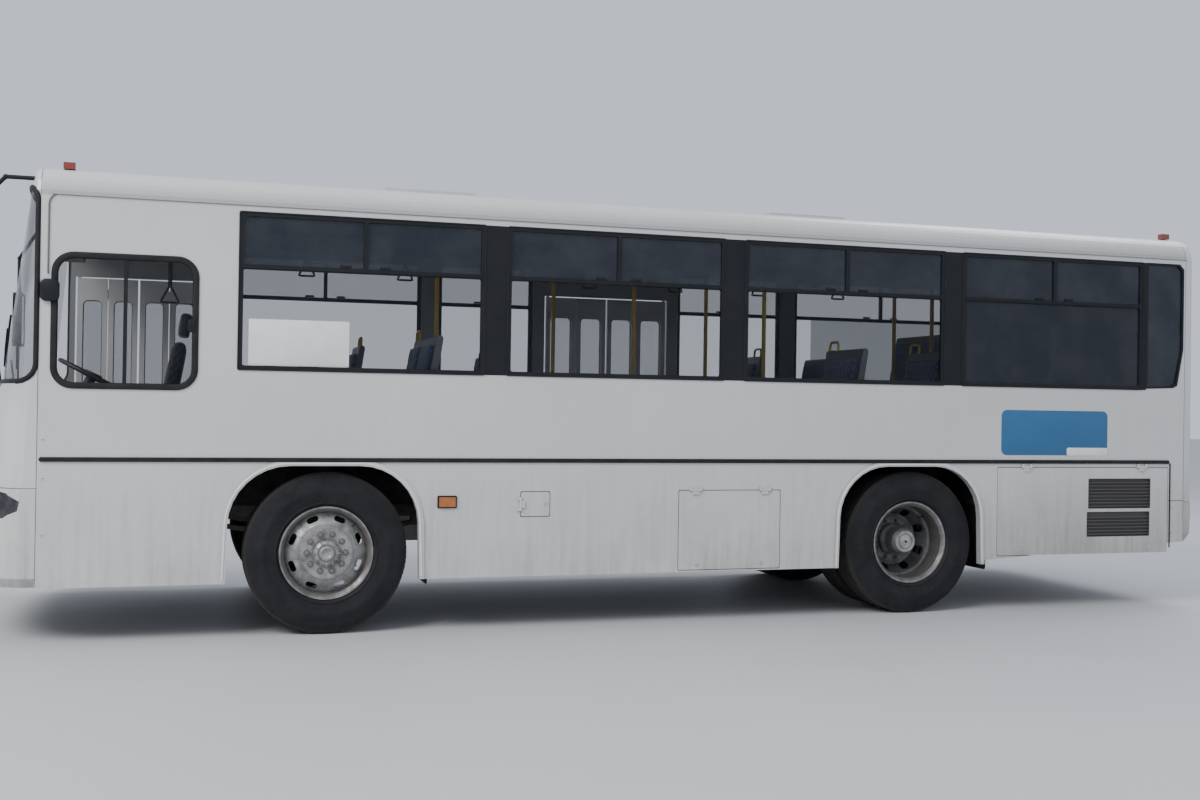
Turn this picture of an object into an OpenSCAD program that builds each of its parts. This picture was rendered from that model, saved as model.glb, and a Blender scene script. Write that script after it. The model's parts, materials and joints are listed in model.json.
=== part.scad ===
// Single-deck midi passenger bus, left-hand drive, engine behind the rear axle.
// +X points forward, +Y to the bus's left, +Z up; the origin is on the floor under the middle of the body.

/* [Body] */
// Overall length of the bus
bus_len = 8990; // [8900:10:9100]
// Width over the side panels
bus_w = 2490; // [2480:1:2500]
// Height of the roof's crown
roof_z = 2965; // [2950:1:2980]
// Rise of the roof from the eaves, where its corners start to round, to the crown
roof_rise = 262; // [259:1:265]
// Radius of the roof's corners in cross-section
roof_r = 180; // [175:1:185]
// Height of the skirt's lower edge
skirt_z = 350; // [340:1:355]
// Thickness of the side walls
wall_t = 45; // [42:1:48]
// Thickness of the roof, the front mask, the rear panel and the bumpers
shell_t = 40; // [34:1:44]
// Length of the nose in front of the side panels
nose_len = 480; // [470:1:490]
// Length of the tail behind the side panels
tail_len = 150; // [145:1:155]
// Height of the seam between the bumpers and the panels above them
front_seam_z = 938; // [930:1:945]

/* [Axles] */
// From the nose back to the front axle
front_overhang = 2200; // [2190:1:2210]
// From the tail forward to the rear axle
rear_overhang = 2550; // [2540:1:2560]
// Height of the wheel centres
hub_z = 517; // [515:1:520]
// Outer radius of the tyres
tyre_r = 517; // [515:1:520]
// Middle of a front tyre, sideways
front_tyre_y = 1072; // [1070:1:1074]
// Middle of an outer rear tyre, sideways
outer_tyre_y = 1067; // [1065:1:1069]
// Middle of an inner rear tyre, sideways
inner_tyre_y = 747; // [745:1:749]
// Kingpin's distance from the middle plane
kingpin_y = 930; // [928:1:932]

/* [Windows] */
// Lower edge of the side windows
band_z0 = 1675; // [1665:1:1685]
// From the eaves down to the side windows' upper edge
band_drop = 31; // [25:1:40]
// Height of the sliding panes, from the bar under them to the window's upper edge
slider_h = 347; // [330:1:360]
// Thickness of the glass
glass_t = 6; // [5:1:8]
// Lower edge of the windscreen
screen_z0 = 1580; // [1570:1:1590]
// From the roof's crown down to the windscreen's upper edge
screen_drop = 185; // [175:1:195]

/* [Doors] */
// Width of the front doorway
front_door_w = 930; // [920:1:940]
// Width of the middle doorway
mid_door_w = 1120; // [1110:1:1130]
// From the rear axle forward to the middle doorway
mid_door_ahead = 1050; // [1040:1:1060]
// Underside of the door leaves
leaf_z0 = 380; // [378:1:384]
// From the eaves down to the top of the door leaves
leaf_drop = 283; // [280:1:300]
// Thickness of a door leaf
leaf_t = 35; // [32:1:35]

/* [Cabin] */
// Top of the cabin floor
floor_z = 920; // [915:1:925]
// Thickness of the cabin floor
floor_t = 40; // [35:1:40]
// Top of the raised floor over the engine
platform_z = 1150; // [1140:1:1160]
// Height of a seat's cushion above the cabin floor
seat_h = 440; // [430:1:450]

/* [Hidden] */
$fn = 48;

half_w = bus_w / 2;
wall_in = half_w - wall_t;
// Where the side panels end in front and behind
nose_x = bus_len / 2 - nose_len;
tail_x = tail_len - bus_len / 2;
front_axle_x = bus_len / 2 - front_overhang;
rear_axle_x = rear_overhang - bus_len / 2;
eave_z = roof_z - roof_rise;
band_z1 = eave_z - band_drop;
divider_z = band_z1 - slider_h;
screen_z1 = roof_z - screen_drop;
front_door_x1 = nose_x - 25;
front_door_x0 = front_door_x1 - front_door_w;
mid_door_x0 = rear_axle_x + mid_door_ahead;
mid_door_x1 = mid_door_x0 + mid_door_w;
leaf_z1 = eave_z - leaf_drop;
// Gap left around every flap, lid and door leaf
gap = 5;
// How far a cut runs past the surface that it starts from
over = 5;

// Roof cross-section: a corner arc on each side, tangent to one wide crown arc
corner_y = half_w - roof_r;
crown_r = (corner_y * corner_y + roof_rise * roof_rise - roof_r * roof_r) / (2 * (roof_rise - roof_r));
crown_cz = roof_z - crown_r;
crown_a = atan2(eave_z - crown_cz, corner_y);

// Plan exponents of the two end caps: a larger one makes a squarer corner
nose_n = 2.6;
tail_n = 5;
// Heights of the roof line's own points, from the eaves up to the crown
roof_heights = concat([for (i = [0:8]) eave_z + roof_r * sin(crown_a * i / 8)],
                      [for (i = [1:5]) crown_cz + crown_r * sin(crown_a + (90 - crown_a) * i / 6)], [roof_z]);
// Depth of an end cap above the eaves, as a quarter ellipse
function roof_depth(z, d) = d * sqrt(1 - 0.98 * pow((z - eave_z) / roof_rise, 2));
// Front mask, columns: height, depth in front of nose_x at the middle plane
mask_low = [[front_seam_z, nose_len - 101], [screen_z0 - 110, nose_len - 180], [eave_z - 593, nose_len - 275],
            [eave_z - 203, nose_len - 334]];
mask_levels = concat(mask_low, [for (z = roof_heights) [z, roof_depth(z, nose_len - 365)]]);
// Front bumper, columns: height, depth in front of nose_x, how far the sides are set in
bumper_levels = [[340, nose_len - 60, 60], [400, nose_len - 15, 8], [600, nose_len, 0],
                 [front_seam_z, nose_len - 35, 0]];
// Rear panel, columns: height, depth behind tail_x at the middle plane
tail_seam_z = 800;
lid_hinge_out = 14;
tail_low = [[tail_seam_z, tail_len - lid_hinge_out], [1600, tail_len - 16], [eave_z - 203, tail_len - 20]];
tail_levels = concat(tail_low, [for (z = roof_heights) [z, roof_depth(z, tail_len - 24)]]);
tail_half_levels = concat(tail_low, [[eave_z, roof_depth(eave_z, tail_len - 24)]]);
rear_bumper_levels = [[490, tail_len - 40, 40], [550, tail_len - 8, 4], [700, tail_len, 0], [tail_seam_z, tail_len - 8, 0]];

// Window band between the driver's window and the quarter window, shared out to four windows by these widths
band_x1 = nose_x - 1145;
band_x0 = tail_x + 400;
pillar_w = 145;
window_widths = [1578, 1567, 1614, 1621];
window_scale = (band_x1 - band_x0 - 3 * pillar_w) / total(window_widths);
function total(list, n = 0) = n < len(list) ? list[n] + total(list, n + 1) : 0;
function first(list, n) = [for (i = [0:1:n - 1]) list[i]];
function window_x1(i) = band_x1 - total(first(window_widths, i)) * window_scale - i * pillar_w;
// Side windows, columns: rear edge, front edge; the right side's make room for the middle doorway
left_windows = [for (i = [0:3]) [window_x1(i) - window_widths[i] * window_scale, window_x1(i)]];
door_margin = 105;
last_window_w = 1798;
right_windows = [for (w = [left_windows[0], [mid_door_x1 + door_margin, left_windows[1][1]],
                           [band_x0 + last_window_w + pillar_w, mid_door_x0 - door_margin], [band_x0, band_x0 + last_window_w]])
                     if (w[1] - w[0] > 300) w];
quarter_x = tail_x + 15;
driver_window = [nose_x - 905, 1550, nose_x - 70, eave_z - 343];
frame_w = 31;
driver_rubber = 31;
// How far the quarter window's lower edge lies above the band's
quarter_lift = 12;

// Body flaps on the left side: rear edge, lower edge, front edge, upper edge
fuel_box = [front_axle_x - 1462, 744, front_axle_x - 1264, 905];
service_box = [rear_axle_x + 1084, 361, rear_axle_x + 1849, 909];
engine_box = [tail_x + 147, 410, tail_x + 1694, 1070];
// Grilles in the engine door: rear edge, lower edge, front edge, upper edge
engine_grilles = [[engine_box[0] + 164, 757, engine_box[0] + 737, 985], [engine_box[0] + 170, 541, engine_box[0] + 748, 729]];
rear_lid_box = [-700, 830, 700, 1450];
hinge_r = 7;
pin_r = 4;
hinge_len = 90;
// Hinge axes stand this far out of the panel that they are on
hinge_out = hinge_r + 0.5;
flap_t = 25;
hatch_x = [front_axle_x - 795, rear_axle_x + 445];
hatch_half = 310;
hatch_rim = 20;
hatch_z = roof_z + 20;

// Wheel arches, columns: axle, how far the opening runs back and forward at the skirt
arches = [[front_axle_x, -595, 634], [rear_axle_x, -567, 625]];
arch_top = 1078;
box_half = 640;
box_t = 20;
box_z = 1120;
front_box_y = half_w - 645;
rear_box_y = half_w - 655;

// Front edge of the raised floor over the engine
platform_x = rear_axle_x - box_half - box_t - 155;

// Chassis rails: pressed channels, open towards each other
rail_y = 430;
rail_w = 80;
rail_wall = 10;
rail_z1 = floor_z - floor_t;
rail_z0 = rail_z1 - 190;
// Play between parts that are set against each other
play = 0.3;

steer_arm = 200;
track_rod_z = 414;
steer_lean = 27;
// Driver's place
driver_x = nose_x - 785;
driver_y = 700;
steer_centre = [nose_x - 270, driver_y, 1630];

// Door leaves: pivot in from the jamb and from the outer face, play at the leaf's edges
pivot_in = 30;
pivot_y = 28 - half_w;
jamb_play = 14;
leaf_y0 = 10 - half_w;
leaf_y1 = leaf_y0 + leaf_t;
fold_y = 6.5 - half_w;
fold_r = 6;
meet_play = 7;
well_y1 = 340 - half_w;
well_y2 = 605 - half_w;
tread_z1 = leaf_z0 - 10;
tread_z2 = 645;
tread_t = 25;

// Points of an arc about (cx, cy) from angle a0 to angle a1
function arc(cx, cy, r, a0, a1, n = 6) =
    [for (i = [0:n]) let (a = a0 + (a1 - a0) * i / n) [cx + r * cos(a), cy + r * sin(a)]];

// Outline of a rectangle with rounded corners
function round_rect(x0, y0, x1, y1, r, n = 5) =
    concat(arc(x1 - r, y1 - r, r, 0, 90, n), arc(x0 + r, y1 - r, r, 90, 180, n),
           arc(x0 + r, y0 + r, r, 180, 270, n), arc(x1 - r, y0 + r, r, 270, 360, n));

// Half of the roof's width at height z, on the surface that lies t inside the outer one
function half_at(z, t) =
    z <= eave_z ? half_w - t :
    z <= eave_z + (roof_r - t) * sin(crown_a) ? corner_y + sqrt(pow(roof_r - t, 2) - pow(z - eave_z, 2)) :
    max(30, sqrt(max(0, pow(crown_r - t, 2) - pow(z - crown_cz, 2))));

// Roof line from one eave over the crown to the other, t inside the outer surface
function roof_line(t) = concat(arc(corner_y, eave_z, roof_r - t, 0, crown_a, 8),
                               arc(0, crown_cz, crown_r - t, crown_a, 180 - crown_a, 24),
                               arc(-corner_y, eave_z, roof_r - t, 180 - crown_a, 180, 8));

// Plan of an end cap: a superellipse quarter on each side of the middle plane
function cap_plan(w, d, n, back) =
    concat([for (i = [-12:12]) let (a = 7.5 * i) [d * pow(max(cos(a), 0), 2 / n), w * sign(i) * pow(abs(sin(a)), 2 / n)]],
           back > 0 ? [[-back, w], [-back, -w]] : []);

// Extrusions of an outline: along X from (Y, Z), along Y from (X, Z)
module along_x(x0, x1) { translate([x0, 0, 0]) rotate([90, 0, 90]) linear_extrude(x1 - x0) children(); }
module along_y(y0, y1) { translate([0, y1, 0]) rotate([90, 0, 0]) linear_extrude(y1 - y0) children(); }
module block(x, y, z) { translate([x[0], y[0], z[0]]) cube([x[1] - x[0], y[1] - y[0], z[1] - z[0]]); }
module both_sides() { children(); mirror([0, 1, 0]) children(); }

// Solid turned about a sideways axis from an outline of (radius, distance outwards)
module turned(x, y, z, outline) { translate([x, y, z]) rotate([-90, 0, 0]) rotate_extrude($fn = 64) polygon(outline); }

slice = 0.5;
// How far the end glass lies in from the outer surface
glass_in = 4;
// Convex end cap from levels of height, depth and side inset, t inside the outer surface
module cap(levels, n, t) {
    last = len(levels) - 1;
    hull()
        for (i = [0:last]) {
            z = levels[i][0];
            set_in = len(levels[i]) > 2 ? levels[i][2] : 0;
            lowered = z > eave_z ? eave_z + (z - eave_z) * (roof_rise - t) / roof_rise : z;
            run_out = t > 0 && z < eave_z ? over : 0;
            level = i == 0 ? lowered - run_out : i == last ? lowered + run_out - slice : lowered;
            translate([0, 0, level])
                linear_extrude(slice)
                    polygon(cap_plan(half_at(lowered, t) - set_in, max(4, levels[i][1] - t), n, t > 0 ? over : 0));
        }
}

module cap_shell(levels, n, t0, t1) {
    difference() {
        cap(levels, n, t0);
        cap(levels, n, t1);
    }
}

module at_nose() { translate([nose_x, 0, 0]) children(); }
module at_tail() { translate([tail_x, 0, 0]) mirror([1, 0, 0]) children(); }

// Opening of the windscreen, seen from the side
module screen_hole() {
    along_y(-half_w - 50, half_w + 50)
        polygon(round_rect(nose_x + 15, screen_z0, nose_x + 800, screen_z1, 110));
}

module front_mask() {
    color("whitesmoke")
        difference() {
            at_nose() cap_shell(mask_levels, nose_n, 0, shell_t);
            screen_hole();
            for (y = wiper_y) wiper_axis(y) cylinder(r = spindle_r + 0.3, h = 200, center = true);
            both_sides() mirror_foot(mirror_r + 0.3);
        }
}

module windscreen() {
    color([0.5, 0.6, 0.62, 0.5])
        intersection() {
            at_nose() cap_shell(mask_levels, nose_n, glass_in, glass_in + glass_t);
            screen_hole();
        }
}

// Outline of a headlamp seen from the front, on the left side
lamp_z = front_seam_z - 100;
module lamp_hole() {
    along_x(nose_x + 60, nose_x + 600)
        polygon(concat(arc(half_w - 95, lamp_z, 90, -60, 90, 4), arc(half_w - 425, lamp_z + 30, 60, 90, 180, 4),
                       arc(half_w - 385, lamp_z - 50, 60, 180, 270, 4)));
}

// Bumper in bands: below, beside and above the square ways out of the towing sockets
module front_bumper() {
    color("whitesmoke")
        difference() {
            union() {
                at_nose() cap_shell(bumper_levels, nose_n, 0, shell_t);
                // Ribs back to the chassis rails
                intersection() {
                    at_nose() cap(bumper_levels, nose_n, 0);
                    both_sides() block([rail_nose_x + play, bus_len], [rail_y - rail_w / 2, rail_y + rail_w / 2], [tow_z - tow_half, tow_z + tow_half]);
                }
            }
            both_sides() {
                lamp_hole();
                block([rail_nose_x, bus_len], [rail_y - rail_w / 2 - 1, rail_y + rail_w / 2 + 1], [tow_z - tow_way, tow_z + tow_way]);
            }
            for (z = [tow_z - tow_way - play, tow_z + tow_way])
                block([nose_x - over, bus_len], [-bus_w, bus_w], [z, z + play]);
        }
}
// Towing sockets: height, radius, depth, and where they end in front
tow_z = 560;
tow_r = 22;
tow_depth = 120;
tow_half = 60;
// Half the height of the way out through the bumper
tow_way = tow_r + 8;
rail_nose_x = nose_x + 320;

module headlamps() {
    color("lightgray")
        both_sides()
            intersection() {
                at_nose() cap_shell(bumper_levels, nose_n, 3, 33);
                lamp_hole();
            }
}

module rear_hole() { along_x(tail_x - 400, tail_x - 20) polygon(round_rect(-900, 1700, 900, eave_z - 183, 90)); }
module rear_lid_hole(g) {
    along_x(tail_x - 400, tail_x - 20)
        polygon(round_rect(rear_lid_box[0] - g, rear_lid_box[1] - g, rear_lid_box[2] + g, rear_lid_box[3] + g, 30));
}
module tail_lamp_hole() { along_x(tail_x - 400, tail_x - 40) polygon(round_rect(1000, 1050, 1120, 1560, 40)); }

module rear_panel() {
    color("whitesmoke") {
        difference() {
            at_tail() cap_shell(tail_levels, tail_n, 0, shell_t);
            rear_hole();
            rear_lid_hole(gap);
            both_sides() tail_lamp_hole();
        }
        for (y = [-450, 450]) at_rear_hinge(y) hinge_fixed();
    }
}

module rear_window() {
    color([0.4, 0.45, 0.5, 0.6])
        intersection() {
            at_tail() cap_shell(tail_half_levels, tail_n, glass_in, glass_in + glass_t);
            rear_hole();
        }
}

module tail_lamps() {
    color("darkred")
        both_sides()
            intersection() {
                at_tail() cap_shell(tail_half_levels, tail_n, -6, 30);
                tail_lamp_hole();
            }
}

module rear_bumper() {
    color("whitesmoke") {
        at_tail() cap_shell(rear_bumper_levels, tail_n, 0, shell_t);
        intersection() {
            at_tail() cap(rear_bumper_levels, tail_n, 0);
            both_sides()
                block([-bus_len, tail_x], [rail_y - rail_w / 2, rail_y + rail_w / 2], [rail_z0 + 5, tail_seam_z - 30]);
        }
    }
}

// How far behind tail_x the lid's outer face lies, flush with the panel round it
lid_depth = tail_len - lid_hinge_out - 1;
module rear_lid() {
    color("whitesmoke") {
        along_x(tail_x - lid_depth, tail_x - lid_depth + flap_t)
            polygon(round_rect(rear_lid_box[0], rear_lid_box[1], rear_lid_box[2], rear_lid_box[3], 30));
        for (y = [-450, 450]) at_rear_hinge(y) hinge_moving();
    }
}

// Arch opening in the side view, grown by g all round
module arch_outline(row, g = 0) {
    x0 = row[0] + row[1];
    x1 = row[0] + row[2];
    r = arch_top - 698;
    polygon(concat([[x0 - g, 200], [x0 + 6 - g, skirt_z]],
                   arc(x0 + r + 15, arch_top - r, r + g, 178, 90, 8),
                   arc(x1 - r - 15, arch_top - r, r + g, 90, 2, 8), [[x1 - 6 + g, skirt_z], [x1 + g, 200]]));
}

// Rolled lips that stand out round the arches
lip_w = 34;
lip_out = 9;
module arch_lips() {
    along_y(half_w - 1, half_w + lip_out)
        intersection() {
            difference() {
                for (row = arches) arch_outline(row, lip_w);
                for (row = arches) arch_outline(row);
                translate([-bus_len / 2, rub_z - play]) square([bus_len, lip_w]);
            }
            wall_outline();
        }
}

// Side wall in the side view, with the skirt rising behind the rear arch
module wall_outline() {
    polygon([[tail_x, skirt_z + 140], [rear_axle_x - 600, skirt_z + 30], [rear_axle_x - 600, skirt_z], [nose_x, skirt_z - 10],
             [nose_x, eave_z], [tail_x, eave_z]]);
}

module window_cut(w) { polygon(round_rect(w[0], band_z0, w[1], band_z1, 12)); }

// Rear quarter window: its rear edge slants forward below
module quarter_cut(g) {
    polygon([[quarter_x + g, band_z0 + 325], [quarter_x + 55 + g, band_z0 + 40 + g], [quarter_x + 95 + g, band_z0 + quarter_lift + 10 + g],
             [tail_x + 370 - g, band_z0 + quarter_lift + g], [tail_x + 370 - g, band_z1 - g], [quarter_x + 40 + g, band_z1 - g],
             [quarter_x + g, band_z1 - 40 - g]]);
}

module flap_cut(b, g) { polygon(round_rect(b[0] - g, b[1] - g, b[2] + g, b[3] + g, 12)); }

// Hinge with its axis along Z: fixed ears and pin, then the tube that turns on the pin.
// The panel that carries it lies towards -Y of the axis; the flap is on the +X side.
module hinge_fixed(sink = 3) {
    cylinder(r = pin_r, h = hinge_len - 2, center = true, $fn = 24);
    for (s = [-1, 1])
        translate([0, 0, s * (hinge_len / 2 - 10)]) {
            cylinder(r = hinge_r, h = 20, center = true, $fn = 24);
            translate([-26, -hinge_out - sink, -10]) cube([26, hinge_out + sink + 3, 20]);
        }
}

module hinge_moving(sink = 3) {
    tube = hinge_len - 41;
    difference() {
        union() {
            cylinder(r = hinge_r, h = tube, center = true, $fn = 24);
            translate([0, -hinge_out - sink, -tube / 2]) cube([28, hinge_out + sink + 3, tube]);
        }
        cylinder(r = pin_r + 0.4, h = tube + 2, center = true, $fn = 24);
    }
}

// Hinge places: axis over the gap between panel and flap
module at_top_hinge(x, z) { translate([x, half_w + hinge_out, z + gap / 2]) rotate([0, 90, 0]) children(); }
module at_front_hinge(x, z) { translate([x + gap / 2, half_w + hinge_out, z]) mirror([1, 0, 0]) children(); }
module at_rear_hinge(y) {
    translate([tail_x - (tail_len - lid_hinge_out) - hinge_out + 1, y, rear_lid_box[3] + gap / 2])
        rotate([0, 0, 90]) rotate([0, 90, 0]) children();
}
module at_hatch_hinge(x, y) {
    translate([x - hatch_half - 25, y, hatch_z + 12]) rotate([90, 0, 0]) children();
}

module side_left() {
    color("whitesmoke") {
        along_y(wall_in, half_w)
            difference() {
                wall_outline();
                for (row = arches) arch_outline(row);
                for (w = left_windows) window_cut(w);
                quarter_cut(0);
                polygon(round_rect(driver_window[0], driver_window[1], driver_window[2], driver_window[3], 120));
                flap_cut(fuel_box, gap);
                flap_cut(service_box, gap);
                flap_cut(engine_box, gap);
            }
        arch_lips();
        at_front_hinge(fuel_box[2], (fuel_box[1] + fuel_box[3]) / 2) hinge_fixed();
        for (x = [service_box[0] + 120, service_box[2] - 120]) at_top_hinge(x, service_box[3]) hinge_fixed();
        for (x = [engine_box[0] + 250, engine_box[2] - 250]) at_top_hinge(x, engine_box[3]) hinge_fixed();
    }
}

module side_right() {
    color("whitesmoke")
        mirror([0, 1, 0]) {
            along_y(wall_in, half_w)
                difference() {
                    wall_outline();
                    for (row = arches) arch_outline(row);
                    for (w = right_windows) window_cut(w);
                    quarter_cut(0);
                    for (d = [[front_door_x0, front_door_x1], [mid_door_x0, mid_door_x1]])
                        polygon([[d[0], 0], [d[1], 0], [d[1], leaf_z1 + 10], [d[0], leaf_z1 + 10]]);
                }
            arch_lips();
        }
}

hatch_hinge_y = [-200, 200];
// Roof panels, parted before and behind each hatch, with the bars of its curb set between them
module roof() {
    curb_in = hatch_half - hatch_rim;
    color("whitesmoke") {
        difference() {
            union() {
                along_x(tail_x, nose_x) polygon(concat(roof_line(0), reversed(roof_line(shell_t))));
                for (x = hatch_x)
                    for (y = hatch_hinge_y) {
                        at_hatch_hinge(x, y) hinge_fixed(15);
                        block([x - hatch_half - 52, x - hatch_half - play], [y - hinge_len / 2, y + hinge_len / 2],
                              [roof_z - 35, hatch_z - 6]);
                    }
                // Rain gutters along the eaves
                both_sides()
                    along_x(tail_x, nose_x - 60)
                        polygon([[half_w - 3, eave_z + 6], [half_w + 9, eave_z + 6], [half_w + 9, eave_z + 20],
                                 [half_w + 6, eave_z + 20], [half_w + 6, eave_z + 9], [half_w - 3, eave_z + 9]]);
            }
            for (x = hatch_x) {
                for (seam = [x - hatch_half - play, x + hatch_half])
                    block([seam, seam + play], [-half_w - 50, half_w + 50], [eave_z - 50, roof_z + 1]);
                block([x - hatch_half - play, x + hatch_half + play], [-hatch_half - play, hatch_half + play],
                      [eave_z, roof_z + 1]);
            }
        }
        for (x = hatch_x) {
            both_sides()
                block([x - hatch_half, x + hatch_half], [curb_in, hatch_half], [roof_z - 50, hatch_z]);
            for (x0 = [x - hatch_half, x + curb_in])
                block([x0, x0 + hatch_rim], [-curb_in + play, curb_in - play], [roof_z - 50, hatch_z]);
        }
    }
}

function reversed(list) = [for (i = [len(list) - 1:-1:0]) list[i]];

module roof_hatch(x) {
    color("gainsboro") {
        difference() {
            block([x - hatch_half - 12, x + hatch_half + 20], [-hatch_half - 20, hatch_half + 20], [hatch_z + gap, hatch_z + 40]);
            block([x - hatch_half + 15, x + hatch_half - 15], [-hatch_half + 15, hatch_half - 15], [hatch_z - 1, hatch_z + 22]);
        }
        for (y = hatch_hinge_y) at_hatch_hinge(x, y) hinge_moving(0);
    }
}

module flap(b) { color("whitesmoke") along_y(half_w - flap_t, half_w) flap_cut(b, 0); }
module fuel_flap() {
    flap(fuel_box);
    color("whitesmoke") at_front_hinge(fuel_box[2], (fuel_box[1] + fuel_box[3]) / 2) hinge_moving();
}
module service_flap() {
    flap(service_box);
    color("whitesmoke") for (x = [service_box[0] + 120, service_box[2] - 120]) at_top_hinge(x, service_box[3]) hinge_moving();
}
module engine_door() {
    color("whitesmoke") {
        difference() {
            along_y(half_w - flap_t, half_w) flap_cut(engine_box, 0);
            for (g = engine_grilles) along_y(half_w - flap_t - 1, half_w + 1) polygon(round_rect(g[0], g[1], g[2], g[3], 20));
        }
        for (x = [engine_box[0] + 250, engine_box[2] - 250]) at_top_hinge(x, engine_box[3]) hinge_moving();
    }
    color("dimgray")
        for (g = engine_grilles) {
            along_y(half_w - flap_t, half_w - flap_t + 4) polygon(round_rect(g[0], g[1], g[2], g[3], 20));
            for (z = [g[1] + 22:26:g[3] - 16])
                along_x(g[0] + 6, g[2] - 6)
                    polygon([[half_w - flap_t + 4, z], [half_w - 4, z - 9], [half_w - 4, z - 5], [half_w - flap_t + 4, z + 5]]);
        }
}

// Frames around the side glass; each upper half has two sliding panes
module frame_outline(windows) {
    difference() {
        union() {
            for (w = windows) window_cut(w);
            quarter_cut(0);
        }
        pane_outline(windows);
    }
}

module pane_outline(windows) {
    for (w = windows) {
        mid = (w[0] + w[1]) / 2;
        polygon(round_rect(w[0] + frame_w, band_z0 + frame_w, w[1] - frame_w, divider_z - frame_w / 2, 12));
        polygon(round_rect(w[0] + frame_w, divider_z + frame_w / 2, mid - 14, band_z1 - frame_w, 8));
        polygon(round_rect(mid + 14, divider_z + frame_w / 2, w[1] - frame_w, band_z1 - frame_w, 8));
    }
    quarter_cut(frame_w * 0.5);
}

module driver_frame_cut(g) {
    d = driver_window;
    polygon(round_rect(d[0] + g, d[1] + g, d[2] - g, d[3] - g, 120 - g));
}

frame_y0 = half_w - 22;
frame_y1 = half_w + 3;
pane_y0 = half_w - 16;

module window_frames() {
    color([0.12, 0.12, 0.13]) {
        along_y(frame_y0, frame_y1) frame_outline(left_windows);
        mirror([0, 1, 0]) along_y(frame_y0, frame_y1) frame_outline(right_windows);
        along_y(frame_y0, frame_y1)
            difference() {
                driver_frame_cut(0);
                driver_panes();
            }
        along_y(half_w, half_w + 2) pillar_outline(left_windows);
        mirror([0, 1, 0]) along_y(half_w, half_w + 2) pillar_outline(right_windows);
    }
}
// Dark covers over the pillars between neighbouring windows, where no doorway parts them
module pillar_outline(windows) {
    for (i = [0:1:len(windows) - 2])
        if (windows[i][0] - windows[i + 1][1] < 1.5 * pillar_w)
            translate([windows[i + 1][1], band_z0 + 4]) square([windows[i][0] - windows[i + 1][1], band_z1 - band_z0 - 8]);
}
// Two panes of the driver's window, either side of its bar
module driver_panes() {
    difference() {
        driver_frame_cut(driver_rubber);
        translate([nose_x - 495, driver_window[1]]) square([22, driver_window[3] - driver_window[1]]);
    }
}

module side_glass() {
    color([0.35, 0.42, 0.45, 0.6]) {
        along_y(pane_y0, pane_y0 + glass_t) pane_outline(left_windows);
        mirror([0, 1, 0]) along_y(pane_y0, pane_y0 + glass_t) pane_outline(right_windows);
        along_y(pane_y0, pane_y0 + glass_t) driver_panes();
    }
}

rub_z = 1101;
rub_h = 28;
rub_out = 10;
module rub_strip(x0, x1) { block([x0, x1], [half_w, half_w + rub_out], [rub_z, rub_z + rub_h]); }
module rub_strips() {
    color([0.15, 0.15, 0.16]) {
        rub_strip(engine_box[0], nose_x - 18);
        mirror([0, 1, 0]) {
            rub_strip(engine_box[0], mid_door_x0 - 20);
            rub_strip(mid_door_x1 + 20, front_door_x0 - 20);
        }
    }
}

// Lamps on the outside, columns: place along the bus, height
side_marker = [front_axle_x - 766, 843];
roof_marker_x = [nose_x - 140, tail_x + 45];
module marker_lamps() {
    y = corner_y - 45;
    color("orange")
        both_sides() {
            block([side_marker[0] - 55, side_marker[0] + 55], [half_w, half_w + 18], [side_marker[1] - 32, side_marker[1] + 32]);
            for (x = roof_marker_x) block([x - 35, x + 35], [y, y + 50], [roof_at(y) + 0.2, roof_at(y) + 42]);
        }
}
// Height of the roof's outer surface at a distance y from the middle plane
function roof_at(y) = crown_cz + sqrt(crown_r * crown_r - y * y);

// Mirror arm: its foot goes through the mask above the windscreen
mirror_r = 13;
mirror_y = 1130;
mirror_z = roof_z - 153;
module mirror_foot(r) { translate([nose_x + 12, mirror_y, mirror_z]) rotate([0, 90, 0]) cylinder(r = r, h = 200, $fn = 24); }

// Straight round bar from one point to another
module bar(p, q, r) {
    d = q - p;
    translate(p) rotate([0, acos(d[2] / norm(d)), atan2(d[1], d[0])]) cylinder(r = r, h = norm(d), $fn = 24);
}

module mirrors() {
    elbow = [nose_x + 212, mirror_y, mirror_z];
    reach = [nose_x + 390, 1300, mirror_z - 252];
    color([0.1, 0.1, 0.1])
        both_sides() {
            mirror_foot(mirror_r);
            bar(elbow, reach, mirror_r);
            for (p = [elbow, reach]) translate(p) sphere(r = mirror_r + 3, $fn = 24);
            bar(reach, [reach[0], reach[1], reach[2] - 360], mirror_r);
            along_x(reach[0] - 30, reach[0] + 30)
                polygon(round_rect(reach[1] - 120, reach[2] - 680, reach[1] + 120, reach[2] - 270, 40));
        }
}

wiper_y = [-560, 160];
wiper_z = screen_z0 - 55;
spindle_r = 9;
module wiper_axis(y) { translate([nose_x + 290, y, wiper_z]) rotate([0, 82, 0]) children(); }
module wipers() {
    color([0.1, 0.1, 0.1])
        for (y = wiper_y) {
            wiper_axis(y) translate([0, 0, -40]) cylinder(r = spindle_r, h = 75);
            bar([nose_x + 325, y, wiper_z + 5], [nose_x + 311, y + 380, wiper_z + 215], 6);
        }
}

module destination_box() {
    color("dimgray") {
        block([nose_x - 120, nose_x + 20], [-800, 800], [roof_z - 465, roof_z - 205]);
        block([nose_x - 120, nose_x - 60], [-760, 760], [roof_z - 225, ceiling_at(760)]);
    }
}

// Section of the left rail: its web stands outside
module rail_section() {
    inner = rail_y - rail_w / 2;
    outer = rail_y + rail_w / 2;
    polygon([[inner, rail_z0], [outer, rail_z0], [outer, rail_z1], [inner, rail_z1], [inner, rail_z1 - rail_wall],
             [outer - rail_wall, rail_z1 - rail_wall], [outer - rail_wall, rail_z0 + rail_wall], [inner, rail_z0 + rail_wall]]);
}
rail_end_x = nose_x - 65;
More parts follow.
